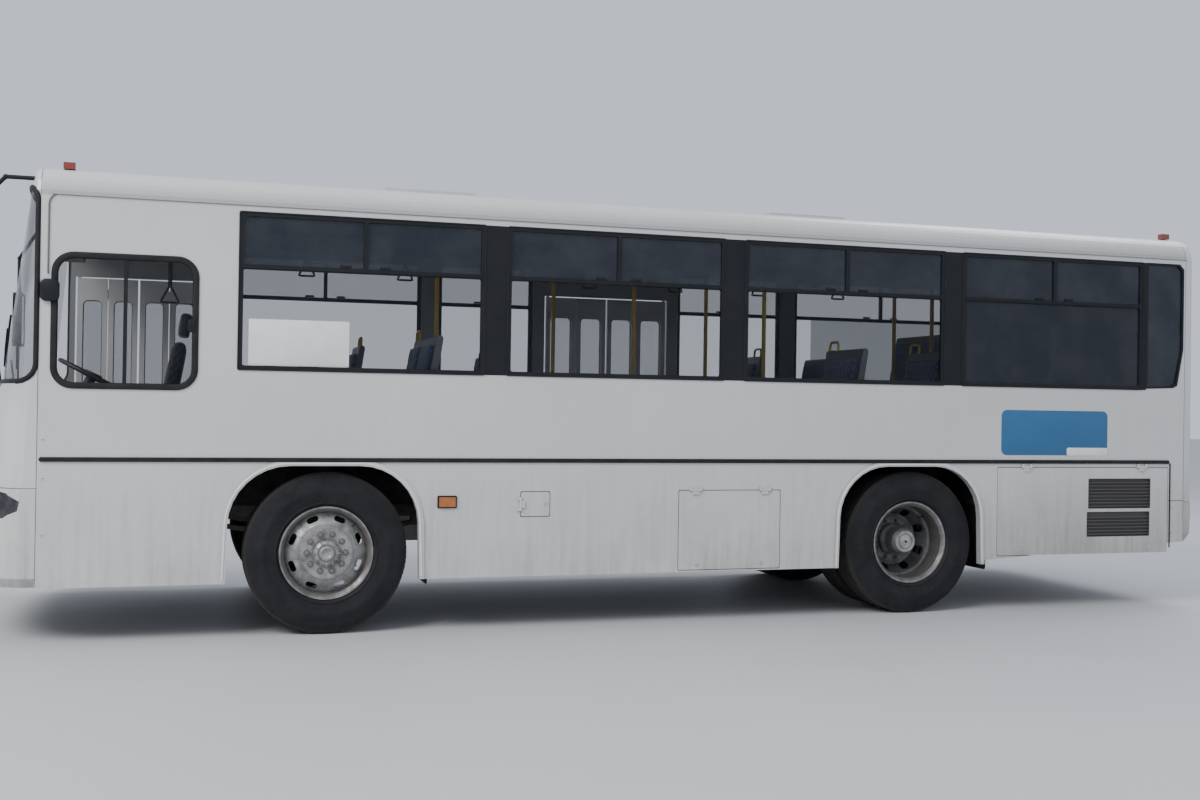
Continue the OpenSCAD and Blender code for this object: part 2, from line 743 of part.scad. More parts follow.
// Cross-members set into the channels, by the place of their rear faces
cross_x = [rail_end_x - 75, front_axle_x + 745, front_axle_x - 795, mid_door_x1 + 275, mid_door_x0 + 395,
           rear_axle_x + 745, rear_axle_x - 615, tail_x + 60];
cross_len = 70;
// Outriggers under the floor, clear of the wheel boxes and doorways
outrigger_x = [front_axle_x + box_half + box_t + 35, front_axle_x - box_half - box_t - 115, mid_door_x1 + 375,
               rear_axle_x + box_half + box_t + 205, rear_axle_x - box_half - box_t - 75, tail_x + 105];
outrigger_len = 40;
jack_x = [nose_x - 515, rear_axle_x + 1045];
jack_half = 55;
jack_drop = 12;
module chassis_frame() {
    cross_y = rail_y + rail_w / 2 - rail_wall - play;
    color([0.2, 0.2, 0.22]) {
        both_sides() {
            along_x(tail_x, rail_end_x) rail_section();
            // Jacking pads
            for (x = jack_x) block([x - jack_half, x + jack_half], [rail_y - 35, rail_y + 35], [rail_z0 - jack_drop, rail_z0 + 1]);
        }
        for (x = cross_x)
            block([x, x + cross_len], [-cross_y, cross_y], [rail_z0 + rail_wall + play, rail_z1 - rail_wall - play]);
        for (x = outrigger_x)
            both_sides()
                along_x(x, x + outrigger_len)
                    polygon([[rail_y + rail_w / 2 + play, rail_z1 - 110], [wall_in, rail_z1 - 70], [wall_in, rail_z1],
                             [rail_y + rail_w / 2 + play, rail_z1]]);
        // Towing brackets hung under the rails' front ends, each with a socket
        both_sides()
            difference() {
                union() {
                    block([rail_end_x - 70, rail_nose_x], [rail_y - 40, rail_y + 40], [tow_z - tow_half, tow_z + tow_half]);
                    block([rail_end_x - 70, rail_end_x], [rail_y - 40, rail_y + 40], [tow_z - tow_half, rail_z0 - play]);
                }
                translate([rail_nose_x - tow_depth, rail_y, tow_z]) rotate([0, 90, 0]) cylinder(r = tow_r, h = 200);
            }
    }
}

module floor() {
    color([0.35, 0.36, 0.38]) {
        difference() {
            block([platform_x, nose_x], [-wall_in, wall_in], [rail_z1, floor_z]);
            for (row = [[front_axle_x, front_box_y], [rear_axle_x, rear_box_y]])
                both_sides() block([row[0] - box_half - box_t, row[0] + box_half + box_t], [row[1] - box_t, half_w], [0, 3000]);
            block([front_door_x0 - box_t, front_door_x1 + box_t], [-half_w, well_y2 + tread_t], [0, 3000]);
            block([mid_door_x0 - box_t, mid_door_x1 + box_t], [-half_w, well_y2 + tread_t], [0, 3000]);
        }
        block([tail_x, platform_x], [-wall_in, wall_in], [platform_z - floor_t, platform_z]);
        block([platform_x - 30, platform_x], [-wall_in, wall_in], [floor_z - floor_t, platform_z - floor_t]);
    }
}

// Closed-in house over each wheel, open below and towards the arch
module wheel_house(x, y_in) {
    difference() {
        block([x - box_half - box_t, x + box_half + box_t], [y_in - box_t, wall_in], [rail_z1 - 100, box_z + box_t]);
        block([x - box_half, x + box_half], [y_in, wall_in + 1], [0, box_z]);
    }
}

module wheel_boxes() {
    color([0.25, 0.26, 0.28])
        both_sides() {
            wheel_house(front_axle_x, front_box_y);
            wheel_house(rear_axle_x, rear_box_y);
        }
}

// Two steps up from a doorway, with a plate at each end
module step_well(x0, x1) {
    along_x(x0, x1)
        polygon([[-half_w, tread_z1 - tread_t], [-half_w, tread_z1], [well_y1, tread_z1], [well_y1, tread_z2],
                 [well_y2, tread_z2], [well_y2, floor_z], [well_y2 + tread_t, floor_z],
                 [well_y2 + tread_t, tread_z2 - tread_t], [well_y1 + tread_t, tread_z2 - tread_t],
                 [well_y1 + tread_t, tread_z1 - tread_t]]);
    for (x = [x0 - box_t, x1])
        block([x, x + box_t], [-wall_in, well_y2 + tread_t], [tread_z1 - tread_t, floor_z]);
}
module step_wells() {
    color([0.3, 0.31, 0.33]) {
        step_well(front_door_x0, front_door_x1);
        step_well(mid_door_x0, mid_door_x1);
    }
}

// Seat rows' pitch in the rear half, and the room that a seat takes in front of its back
seat_pitch = 700;
seat_room = 455;
over_wheel = box_z + box_t;
// Outer edge of the seats beside the walls
seat_y = wall_in - 20;
// Seats, columns: back's place along the bus, right edge, left edge, what the leg stands on
seat_rows = concat(
    [[front_axle_x - 655, 300, seat_y, over_wheel], [front_axle_x + 125, seat_y - 560, seat_y, over_wheel],
     [mid_door_x1 + 615, -seat_y, 440 - seat_y, floor_z], [front_axle_x - 395, -seat_y, 440 - seat_y, over_wheel],
     [front_axle_x + 265, -seat_y, 440 - seat_y, over_wheel]],
    [for (i = [0:1]) [rear_axle_x - 255 + i * seat_pitch, seat_y - 560, seat_y, over_wheel]],
    [for (x = [rear_axle_x - 255:seat_pitch:mid_door_x0 - box_t - seat_room]) [x, -seat_y, 560 - seat_y, over_wheel]],
    [[rear_axle_x - 1205, 300, seat_y, platform_z], [rear_axle_x - 1205, -seat_y, -300, platform_z]],
    [for (y = [-seat_y, -seat_y + 590, seat_y - 1170, seat_y - 580]) [tail_x + 145, y, y + 580, platform_z]]);
// Cushion top of a row, higher over the engine
function cushion_z(row) = row[3] > floor_z && row[0] < platform_x ? platform_z + seat_h : floor_z + seat_h;

module seat_shell(row) {
    x = row[0];
    z = cushion_z(row);
    along_y(row[1], row[2])
        polygon(concat([[x + 430, z - 60], [x + 435, z - 30], [x + 70, z - 40], [x - 40, z + 560]],
                       arc(x - 62, z + 556, 22, 10, 190, 4), [[x + 10, z - 75], [x + 40, z - 95]]));
    // Leg under the middle of the seat
    mid = (row[1] + row[2]) / 2;
    block([x + 120, x + 260], [mid - 60, mid + 60], [row[3], z - 70]);
}
module passenger_seats() { color([0.25, 0.28, 0.32]) for (row = seat_rows) seat_shell(row); }

module seat_pad(row) {
    x = row[0];
    z = cushion_z(row);
    n = row[2] - row[1] > 700 ? 2 : 1;
    w = (row[2] - row[1]) / n;
    for (i = [0:n - 1])
        along_y(row[1] + i * w + 25, row[1] + (i + 1) * w - 25) {
            polygon([[x + 415, z - 30], [x + 405, z + 5], [x + 110, z], [x + 90, z - 39]]);
            polygon([[x + 58.7, z + 25], [x + 90, z + 30], [x - 2, z + 530], [x - 33.9, z + 530]]);
        }
}
module seat_pads() { color([0.15, 0.3, 0.5]) for (row = seat_rows) seat_pad(row); }

module driver_seat() {
    color([0.15, 0.15, 0.17]) {
        block([driver_x + 120, driver_x + 420], [driver_y - 160, driver_y + 160], [floor_z, 1240]);
        along_y(driver_y - 240, driver_y + 240)
            polygon([[driver_x, 1240], [driver_x + 500, 1240], [driver_x + 510, 1350], [driver_x + 120, 1335],
                     [driver_x + 20, 1900], [driver_x - 20, 2060], [driver_x - 90, 2060], [driver_x - 80, 1900]]);
    }
}

module dashboard() {
    color([0.16, 0.16, 0.18]) {
        along_y(-560, 1150)
            polygon([[nose_x - 30, floor_z], [nose_x + 60, floor_z], [nose_x + 120, 1420], [nose_x - 60, 1500], [nose_x - 190, 1440], [nose_x - 150, 1330]]);
        // Steering column
        translate(steer_centre) rotate([0, -steer_lean, 0]) translate([0, 0, -560]) cylinder(r = 32, h = 540);
        translate([steer_centre[0] + 150, driver_y - 60, floor_z]) cube([180, 120, 260]);
    }
}

module steering_wheel() {
    color([0.1, 0.1, 0.1])
        translate(steer_centre)
            rotate([0, -steer_lean, 0]) {
                rotate_extrude($fn = 48) translate([215, 0]) circle(r = 14, $fn = 16);
                translate([0, 0, -19.5]) cylinder(r = 55, h = 42);
                for (a = [90, 210, 330]) rotate([0, 0, a]) translate([40, -14, -8]) cube([170, 28, 14]);
            }
}

// Upright poles, columns: place along the bus, sideways
poles = [[front_door_x0 - 100, 330], [front_axle_x - 845, 345], [mid_door_x1 + 105, -540], [mid_door_x1 - 285, 330],
         [mid_door_x0 - 105, -540], [rear_axle_x + 795, 300], [front_door_x0 - 110, -540],
         [platform_x + 110, 300], [platform_x + 110, -300]];
pole_r = 16;
// Overhead rails: ends, distance from the middle plane, height
overhead_x = [platform_x + 160, front_door_x0 - 260];
overhead_y = 480;
overhead_z = eave_z - 83;
module handrails() {
    color([0.85, 0.75, 0.2]) {
        for (p = poles) translate([p[0], p[1], floor_z]) cylinder(r = pole_r, h = ceiling_at(p[1]) - floor_z, $fn = 24);
        both_sides() {
            translate([overhead_x[0], overhead_y, overhead_z])
                rotate([0, 90, 0]) cylinder(r = pole_r, h = overhead_x[1] - overhead_x[0], $fn = 24);
            for (i = [0:4])
                translate([overhead_x[0] + 40 + i * (overhead_x[1] - overhead_x[0] - 80) / 4, overhead_y, overhead_z])
                    cylinder(r = 12, h = ceiling_at(overhead_y) - overhead_z, $fn = 24);
        }
    }
}
// Top of an upright that ends just under the ceiling
function ceiling_at(y) = crown_cz + sqrt(pow(crown_r - shell_t, 2) - pow(abs(y) + pole_r, 2)) - 0.8;

// Engine with its gearbox in front, between the rails
engine_x = [tail_x + 245, tail_x + 1445];
gearbox_x1 = engine_x[1] + 280;
engine_z = [430, platform_z - floor_t - 30];
module engine_block() {
    half = rail_y - rail_w / 2 - play;
    color([0.3, 0.3, 0.3]) {
        block(engine_x, [-half, half], engine_z);
        block([engine_x[1], gearbox_x1], [-150, 150], [480, 780]);
    }
}

// Kingpin eyes at the ends of the front axle's beam
eye_r = 45;
eye_z = [465, 585];
kingpin_r = 20;
module front_axle() {
    color([0.22, 0.22, 0.24])
        difference() {
            union() {
                block([front_axle_x - 45, front_axle_x + 45], [-700, 700], [440, 540]);
                both_sides() {
                    block([front_axle_x - 40, front_axle_x + 40], [690, kingpin_y], [eye_z[0], 560]);
                    translate([front_axle_x, kingpin_y, eye_z[0]]) cylinder(r = eye_r, h = eye_z[1] - eye_z[0]);
                }
            }
            both_sides() translate([front_axle_x, kingpin_y, 400]) cylinder(r = kingpin_r + 0.4, h = 300);
        }
}

module spring_pack(x, half_len, z0, rise) {
    // Leaf pack as an arc, thickest in the middle, from hanger to hanger
    n = 8;
    top = [for (i = [-n:n]) [x + half_len * i / n, z0 + 60 + rise * (i / n) * (i / n)]];
    low = [for (i = [n:-1:-n]) [x + half_len * i / n, z0 + rise * (i / n) * (i / n) + 35 * abs(i / n)]];
    polygon(concat(top, low));
}
module springs() {
    color([0.2, 0.2, 0.2])
        both_sides() {
            along_y(rail_y - 38, rail_y + 38) {
                spring_pack(front_axle_x, 700, 540, 60);
                spring_pack(rear_axle_x, 700, 600, 30);
            }
            for (s = [[front_axle_x, 625], [rear_axle_x, 640]])
                for (e = [-1, 1])
                    block([s[0] + e * 690 - 25, s[0] + e * 690 + 25], [rail_y - 38, rail_y + 38], [s[1], rail_z0]);
        }
}

module rear_axle() {
    color([0.22, 0.22, 0.24]) {
        translate([rear_axle_x, 560, hub_z]) rotate([90, 0, 0]) cylinder(r = 75, h = 1120);
        translate([rear_axle_x, 110, hub_z]) rotate([90, 0, 0]) cylinder(r = 190, h = 220);
        block([rear_axle_x - 60, rear_axle_x + 60], [-480, 480], [hub_z, 600]);
        both_sides() translate([rear_axle_x, 990, hub_z]) rotate([90, 0, 0]) cylinder(r = 60, h = 440);
        // Propeller shaft from the gearbox
        translate([gearbox_x1 + play, 0, hub_z + 40]) rotate([0, 90, 0]) cylinder(r = 45, h = rear_axle_x - 175 - gearbox_x1);
    }
}

// Fuel tank on straps from the left rail, with its filler behind the flap, and the battery box
tank_x = [front_axle_x - 1675, front_axle_x - 735];
filler_x = (fuel_box[0] + fuel_box[2]) / 2;
module fuel_tank() {
    neck_z1 = rail_z1 - 6;
    color([0.25, 0.25, 0.27]) {
        along_x(tank_x[0], tank_x[1]) polygon(round_rect(wall_in - 560, 400, wall_in - 70, 760, 50));
        along_y(wall_in - 100, wall_in - 15) polygon(round_rect(filler_x - 60, 740, filler_x + 60, neck_z1, 20));
        translate([filler_x, half_w - 31, neck_z1 - 55]) rotate([90, 0, 0]) cylinder(r = 42, h = 30);
        block([service_box[0] + 11, service_box[2] - 24], [wall_in - 500, wall_in - 30], [400, 800]);
        for (x = [tank_x[0] + 20, tank_x[1] - 160]) block([x, x + 40], [rail_y + 40, 800], [700, 770]);
        block([service_box[0] + 261, service_box[0] + 321], [rail_y + 40, 720], [700, 760]);
    }
}

// Silencer across the right of the engine, with its tail pipe
silencer_x = [tail_x + 845, tail_x + 1445];
silencer_y = -800;
module exhaust() {
    color([0.35, 0.33, 0.3]) {
        along_x(silencer_x[0], silencer_x[1]) polygon(arc(silencer_y, 560, 140, 0, 345, 23));
        translate([tail_x - 115, silencer_y, 455]) rotate([0, 90, 0]) cylinder(r = 32, h = silencer_x[0] - tail_x + 120);
        for (x = [silencer_x[0] + 200, silencer_x[1] - 200])
            block([x, x + 30], [silencer_y - 15, silencer_y + 15], [680, platform_z - floor_t]);
    }
}

// Steering knuckle: two ears over and under the axle's eye, kingpin, stub axle and steering arm
module knuckle() {
    x = front_axle_x;
    ear = 30;
    top = eye_z[1] + 1;
    low = eye_z[0] - 1 - ear;
    back_y = kingpin_y + 77;
    for (z = [top, low]) {
        translate([x, kingpin_y, z]) cylinder(r = eye_r, h = ear);
        block([x - eye_r, x + eye_r], [kingpin_y, back_y], [z, z + ear]);
    }
    translate([x, kingpin_y, low + 2]) cylinder(r = kingpin_r, h = top + ear - low - 4);
    block([x - 50, x + 50], [back_y - 25, back_y], [low, top + ear]);
    translate([x, back_y + 125, hub_z]) rotate([90, 0, 0]) cylinder(r = eye_r, h = 130);
    block([x - steer_arm, x - 20], [kingpin_y - 14, kingpin_y + 14], [low, low + 20]);
    translate([x - steer_arm, kingpin_y, low]) cylinder(r = 24, h = 20);
    translate([x - steer_arm, kingpin_y, low - 38]) cylinder(r = 10, h = 40);
}
module knuckle_left() { color([0.25, 0.25, 0.27]) knuckle(); }
module knuckle_right() { color([0.25, 0.25, 0.27]) mirror([0, 1, 0]) knuckle(); }

module track_rod() {
    z = track_rod_z;
    color([0.25, 0.25, 0.27])
        difference() {
            union() {
                both_sides() translate([front_axle_x - steer_arm, kingpin_y, z - 16]) cylinder(r = 24, h = 34);
                translate([front_axle_x - steer_arm, kingpin_y - 12, z]) rotate([90, 0, 0]) cylinder(r = 16, h = 2 * kingpin_y - 24);
            }
            both_sides() translate([front_axle_x - steer_arm, kingpin_y, z - 30]) cylinder(r = 10.4, h = 60);
        }
}

// Tyre section, as (radius, distance from the tyre's middle)
rim_r = 286;
flange_r = 298.5;
// Half the distance between the tyre's beads, on their outer sides
bead_y = 106;
function tyre_half() = [[rim_r, bead_y], [flange_r + 1, bead_y], [312, 124], [400, 139], [470, 136], [505, 124], [520, 104], [tyre_r, 84]];
function tyre_outline() = concat([for (p = tyre_half()) [p[0], p[1]]], reversed([for (p = tyre_half()) [p[0], -p[1]]]));
// Rim barrel with its two flanges
function rim_outline() = [[rim_r, bead_y + play], [flange_r, bead_y + 1], [flange_r, 118], [288, 118], [268, 100], [262, 60], [262, -60],
                          [268, -100], [288, -118], [flange_r, -118], [flange_r, -bead_y - 1], [rim_r, -bead_y - play]];

// Eight slots through a wheel disc, longer round the wheel than across
module hand_holes(x, y, r, half_len, half_w) {
    for (i = [0:7])
        translate([x, y + 150, hub_z]) rotate([90, 22.5 + 45 * i, 0])
            linear_extrude(300) polygon(round_rect(r - half_w, -half_len, r + half_w, half_len, half_w - 1, 4));
}

module front_wheel() {
    x = front_axle_x;
    y = front_tyre_y;
    difference() {
        union() {
            turned(x, y, hub_z, rim_outline());
            // Dished disc, bulging outwards
            turned(x, y, hub_z, [[60, 92], [60, 106], [165, 106], [190, 98], [248, 60], [264, 50], [264, 30], [246, 36], [182, 84], [160, 92]]);
        }
        hand_holes(x, y, 226, 38, 17);
    }
    // Hub and brake drum
    turned(x, y, hub_z, [[46, -52], [62, -52], [62, 40], [110, 60], [110, 91.9], [46, 91.9]]);
    turned(x, y, hub_z, [[55, 91], [80, 106], [80, 128], [62, 140], [0, 142], [0, 136], [46, 130], [46, 91]]);
    turned(x, y, hub_z, [[195, -50], [205, -50], [205, 60], [110, 70], [110, 60], [195, 50]]);
}

module rear_wheel() {
    x = rear_axle_x;
    difference() {
        union() {
            turned(x, outer_tyre_y, hub_z, rim_outline());
            turned(x, inner_tyre_y, hub_z, rim_outline());
            // Discs back to back between the two rims
            turned(x, 907, hub_z, [[120, 0.2], [120, 14], [165, 14], [190, 24], [246, 110], [264, 120], [264, 100], [250, 92], [200, 6], [180, 0.2]]);
            turned(x, 907, hub_z, [[120, -0.2], [120, -14], [165, -14], [190, -24], [246, -110], [264, -120], [264, -100], [250, -92], [200, -6], [180, -0.2]]);
        }
        hand_holes(x, 907, 215, 34, 22);
    }
    // Hub through both discs, with its cap
    turned(x, 907, hub_z, [[62, -130], [120, -130], [120, 60], [100, 90], [96, 190], [80, 215], [0, 222], [0, 100], [62, 95]]);
}

module front_tyre() { turned(front_axle_x, front_tyre_y, hub_z, tyre_outline()); }
module rear_tyres() {
    turned(rear_axle_x, outer_tyre_y, hub_z, tyre_outline());
    turned(rear_axle_x, inner_tyre_y, hub_z, tyre_outline());
}

// One door leaf between two places measured from its jamb, drawn for a jamb at x = 0 and the doorway towards +X.
// Window in each leaf, with a pane that fills it.
module leaf_panel(a, b) {
    w = 40;
    pane = round_rect(a + w, leaf_z0 + 380, b - w, leaf_z1 - 170, 40);
    difference() {
        along_y(leaf_y0, leaf_y1) polygon([[a, leaf_z0], [b, leaf_z0], [b, leaf_z1], [a, leaf_z1]]);
        along_y(leaf_y0 - 1, leaf_y1 + 1) polygon(pane);
    }
    along_y(leaf_y0 + 14, leaf_y0 + 14 + glass_t) polygon(pane);
}

fold_heights = [leaf_z0 + 180, (leaf_z0 + leaf_z1) / 2, leaf_z1 - 120];
function fold_len(width) = (width / 2 - pivot_in - 20) / 2;

// Leaf next to the jamb
module leaf_a(width) {
    fold = pivot_in + fold_len(width);
    difference() {
        leaf_panel(jamb_play, fold - 2.5);
        translate([fold, fold_y, 0]) cylinder(r = fold_r + 1.5, h = 3000, $fn = 24);
    }
    translate([pivot_in, pivot_y, tread_z1 + 0.3]) cylinder(r = 12, h = leaf_z1 + 9.7 - tread_z1 - 0.3, $fn = 24);
    for (z = fold_heights) {
        translate([fold, fold_y, z - 40]) cylinder(r = fold_r, h = 40, $fn = 24);
        translate([fold, fold_y, z - 1]) cylinder(r = 3, h = 40, $fn = 24);
        block([fold - 16, fold], [fold_y + 1, fold_y + fold_r], [z - 40, z]);
    }
}

// Leaf that folds against the first one
module leaf_b(width) {
    fold = pivot_in + fold_len(width);
    difference() {
        leaf_panel(fold + 2.5, width / 2 - meet_play);
        translate([fold, fold_y, 0]) cylinder(r = fold_r + 1.5, h = 3000, $fn = 24);
    }
    for (z = fold_heights)
        difference() {
            union() {
                translate([fold, fold_y, z + 0.5]) cylinder(r = fold_r, h = 40, $fn = 24);
                block([fold, fold + 16], [fold_y + 1, fold_y + fold_r], [z + 0.5, z + 40.5]);
            }
            translate([fold, fold_y, z]) cylinder(r = 3.4, h = 45, $fn = 24);
        }
}

// Leaf number i of a doorway, counted from its rear jamb: 1 and 4 hang on the jambs
module leaf(i, x0, x1) {
    width = x1 - x0;
    color("whitesmoke") {
        if (i == 1) translate([x0, 0, 0]) leaf_a(width);
        if (i == 2) translate([x0, 0, 0]) leaf_b(width);
        if (i == 3) translate([x1, 0, 0]) mirror([1, 0, 0]) leaf_b(width);
        if (i == 4) translate([x1, 0, 0]) mirror([1, 0, 0]) leaf_a(width);
    }
}

chassis_frame();
floor();
wheel_boxes();
step_wells();
side_left();
side_right();
roof();
front_mask();
front_bumper();
rear_panel();
rear_bumper();
windscreen();
rear_window();
side_glass();
window_frames();
headlamps();
tail_lamps();
marker_lamps();
mirrors();
wipers();
rub_strips();
destination_box();
passenger_seats();
seat_pads();
driver_seat();
dashboard();
handrails();
engine_block();
front_axle();
rear_axle();
springs();
fuel_tank();
exhaust();
track_rod();
knuckle_left();
knuckle_right();
steering_wheel();
color("silver") front_wheel();  // wheel_fl
color([0.1, 0.1, 0.1]) front_tyre();  // tyre_fl
color("silver") mirror([0, 1, 0]) front_wheel();  // wheel_fr
color([0.1, 0.1, 0.1]) mirror([0, 1, 0]) front_tyre();  // tyre_fr
color("silver") rear_wheel();  // wheel_rl
color([0.1, 0.1, 0.1]) rear_tyres();  // tyres_rl
color("silver") mirror([0, 1, 0]) rear_wheel();  // wheel_rr
color([0.1, 0.1, 0.1]) mirror([0, 1, 0]) rear_tyres();  // tyres_rr
for (i = [1:4]) {
    leaf(i, front_door_x0, front_door_x1);
    leaf(i, mid_door_x0, mid_door_x1);
}
fuel_flap();
service_flap();
engine_door();
rear_lid();
roof_hatch(hatch_x[0]);  // roof_hatch_front
roof_hatch(hatch_x[1]);  // roof_hatch_rear
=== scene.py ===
"""Looks of a white single-deck midi bus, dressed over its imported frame. Metres, +X forward, +Y left, +Z up."""

import json
import math

import bmesh
import bpy
from mathutils import Matrix, Vector

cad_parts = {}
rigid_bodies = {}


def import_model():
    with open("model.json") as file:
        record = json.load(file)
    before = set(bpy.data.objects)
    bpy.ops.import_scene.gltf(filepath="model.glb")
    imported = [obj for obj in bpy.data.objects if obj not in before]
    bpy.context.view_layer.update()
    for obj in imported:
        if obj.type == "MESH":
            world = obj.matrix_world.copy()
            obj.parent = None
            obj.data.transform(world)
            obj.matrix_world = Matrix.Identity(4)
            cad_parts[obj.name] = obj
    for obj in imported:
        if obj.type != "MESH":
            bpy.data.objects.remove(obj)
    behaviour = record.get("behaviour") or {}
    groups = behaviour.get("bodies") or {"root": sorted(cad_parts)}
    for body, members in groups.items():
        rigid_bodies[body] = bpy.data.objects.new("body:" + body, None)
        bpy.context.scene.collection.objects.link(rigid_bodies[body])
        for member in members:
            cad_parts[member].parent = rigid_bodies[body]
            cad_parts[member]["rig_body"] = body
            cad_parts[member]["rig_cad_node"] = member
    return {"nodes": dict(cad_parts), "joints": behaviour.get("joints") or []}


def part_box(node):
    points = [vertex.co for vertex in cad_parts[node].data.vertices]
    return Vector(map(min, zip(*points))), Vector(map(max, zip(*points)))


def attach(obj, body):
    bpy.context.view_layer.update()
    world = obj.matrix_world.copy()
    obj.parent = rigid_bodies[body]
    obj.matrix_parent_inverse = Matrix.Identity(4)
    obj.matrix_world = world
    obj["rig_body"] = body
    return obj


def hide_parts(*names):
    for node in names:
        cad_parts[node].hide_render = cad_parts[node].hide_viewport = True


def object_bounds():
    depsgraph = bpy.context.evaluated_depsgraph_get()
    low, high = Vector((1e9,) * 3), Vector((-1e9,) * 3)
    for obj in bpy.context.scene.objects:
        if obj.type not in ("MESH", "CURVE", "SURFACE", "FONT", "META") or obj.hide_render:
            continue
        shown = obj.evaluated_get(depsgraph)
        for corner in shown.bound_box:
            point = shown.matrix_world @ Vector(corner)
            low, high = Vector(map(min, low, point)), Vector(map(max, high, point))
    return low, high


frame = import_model()
NODES = frame["nodes"]
JOINTS = {joint["name"]: joint for joint in frame["joints"]}
CAD_BOUNDS = [list(corner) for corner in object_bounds()]

# Camera, as the photograph was taken: place, turn of the view and lens
CAMERA_PLACE = Vector((3.205, 9.803, 1.4795))
CAMERA_YAW = 0.3073
CAMERA_PITCH = 0.0053
CAMERA_ROLL = 0.0153
FOCAL_PIXELS = 1323.19
PHOTO_WIDTH = 1200
SENSOR = 36.0

# Places read from the frame
WALL_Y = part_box("side_glass")[1].y + 0.010
NOSE_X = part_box("roof")[1].x
TAIL_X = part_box("roof")[0].x
FLOOR_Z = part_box("floor")[0].z + 0.040
EAVE_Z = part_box("front_mask")[1].z - 0.262
FRONT_AXLE_X, _, HUB_Z = JOINTS["spin_front_left"]["pos_m"]
REAR_AXLE_X = JOINTS["spin_rear_left"]["pos_m"][0]

# Window band, driver's window, and the bay and quarter window at the rear
BAND_TOP = EAVE_Z - 0.031
BAND_LOW = 1.675
BAND_HEIGHT = BAND_TOP - BAND_LOW
BAND_MIDDLE = (BAND_TOP + BAND_LOW) / 2
DIVIDER_Z = BAND_TOP - 0.347
DRIVER_REAR_X, DRIVER_FRONT_X = NOSE_X - 0.905, NOSE_X - 0.070
DRIVER_LOW_Z, DRIVER_HIGH_Z = 1.550, EAVE_Z - 0.343
REAR_BAY_END = TAIL_X + 2.021
QUARTER_X = TAIL_X + 0.385

# Louvred places in the engine door: rear, front, low, high
GRILLES = ((-4.034, -3.461, 0.757, 0.985), (-4.028, -3.450, 0.541, 0.729))
# Places that several pieces share: the door leaves' outer face, the driver's middle, mirrors and headlamps
LEAF_Y = -1.2348
DRIVER_Y = 0.700
MIRROR_X, MIRROR_Y, MIRROR_Z = 4.376, 1.300, 2.085
LAMP_Z = 0.838

# Which way a piece that is drawn face up is turned: its own X, Y and Z
FACINGS = {
    "up": ((1, 0, 0), (0, 1, 0), (0, 0, 1)),
    "down": ((1, 0, 0), (0, -1, 0), (0, 0, -1)),
    "left": ((-1, 0, 0), (0, 0, 1), (0, 1, 0)),
    "right": ((1, 0, 0), (0, 0, 1), (0, -1, 0)),
    "front": ((0, 1, 0), (0, 0, 1), (1, 0, 0)),
    "back": ((0, -1, 0), (0, 0, 1), (-1, 0, 0)),
}
SIDES = (("left", 1), ("right", -1))
AXLES = (("front", FRONT_AXLE_X), ("rear", REAR_AXLE_X))


def deselect():
    bpy.ops.object.select_all(action="DESELECT")


def active(obj):
    """A piece made the only selected one, for the operators that follow."""
    deselect()
    obj.select_set(True)
    bpy.context.view_layer.objects.active = obj
    return obj


def add(kind, **sizes):
    """A primitive to start a piece from."""
    deselect()
    getattr(bpy.ops.mesh, f"primitive_{kind}_add")(**sizes)
    return bpy.context.object


def cylinder(sides, radius, depth, x=0, z=0):
    return add("cylinder", vertices=sides, radius=radius, depth=depth, location=(x, 0, z))


def open_mesh(obj, kind="FACE"):
    """Edit mode on a piece, with nothing selected."""
    active(obj)
    bpy.ops.object.mode_set(mode="EDIT")
    bpy.ops.mesh.select_mode(type=kind)
    pick("DESELECT")


def close_mesh():
    bpy.ops.object.mode_set(mode="OBJECT")


def pick(action="SELECT"):
    """All of the open mesh picked, or dropped, or the other way round."""
    bpy.ops.mesh.select_all(action=action)


def pick_faces(obj, test):
    """Selects the faces whose middle and normal pass a test."""
    pick("DESELECT")
    mesh = bmesh.from_edit_mesh(obj.data)
    for face in mesh.faces:
        if test(face.calc_center_median(), face.normal):
            face.select_set(True)
    bmesh.update_edit_mesh(obj.data, loop_triangles=False, destructive=False)


def cut(place, normal, **options):
    """Cuts the whole open mesh along a plane."""
    pick()
    bpy.ops.mesh.bisect(plane_co=place, plane_no=normal, **options)


def stepped_top(obj, *steps):
    """The upward faces of a piece inset step by step, each so far inwards and so far up."""
    open_mesh(obj)
    pick_faces(obj, lambda middle, normal: normal.z > 0.9)
    for inwards, upwards in steps:
        bpy.ops.mesh.inset(thickness=inwards, depth=upwards)
    close_mesh()
    return obj


def moved(place):
    return Matrix.Translation(Vector(place))


def turned(degrees, axis):
    return Matrix.Rotation(math.radians(degrees), 4, axis)


def lying(facing):
    return Matrix(FACINGS[facing]).transposed().to_4x4()


def shifted(obj, x, y=0, z=0):
    """A piece moved within its own mesh."""
    obj.data.transform(moved((x, y, z)))
    return obj


def modified(obj, kind, **settings):
    """A modifier put on a piece and applied."""
    active(obj)
    modifier = obj.modifiers.new(kind.lower(), kind)
    for name, value in settings.items():
        setattr(modifier, name, value)
    bpy.ops.object.modifier_apply(modifier=modifier.name)
    return obj


def eased(obj, width, steps=2):
    """The sharp edges of a piece rounded."""
    return modified(obj, "BEVEL", width=width, segments=steps, limit_method="ANGLE", angle_limit=math.radians(30))


def joined(parts):
    """Several pieces made one, which keeps the first one's place."""
    active(parts[0])
    for part in parts:
        part.select_set(True)
    if len(parts) > 1:
        bpy.ops.object.join()
    return parts[0]


def twin(obj, change):
    """A copy with its own mesh, moved or turned by a matrix."""
    copy = obj.copy()
    copy.data = obj.data.copy()
    bpy.context.scene.collection.objects.link(copy)
    copy.data.transform(change)
    if change.determinant() < 0:
        copy.data.flip_normals()
    return copy


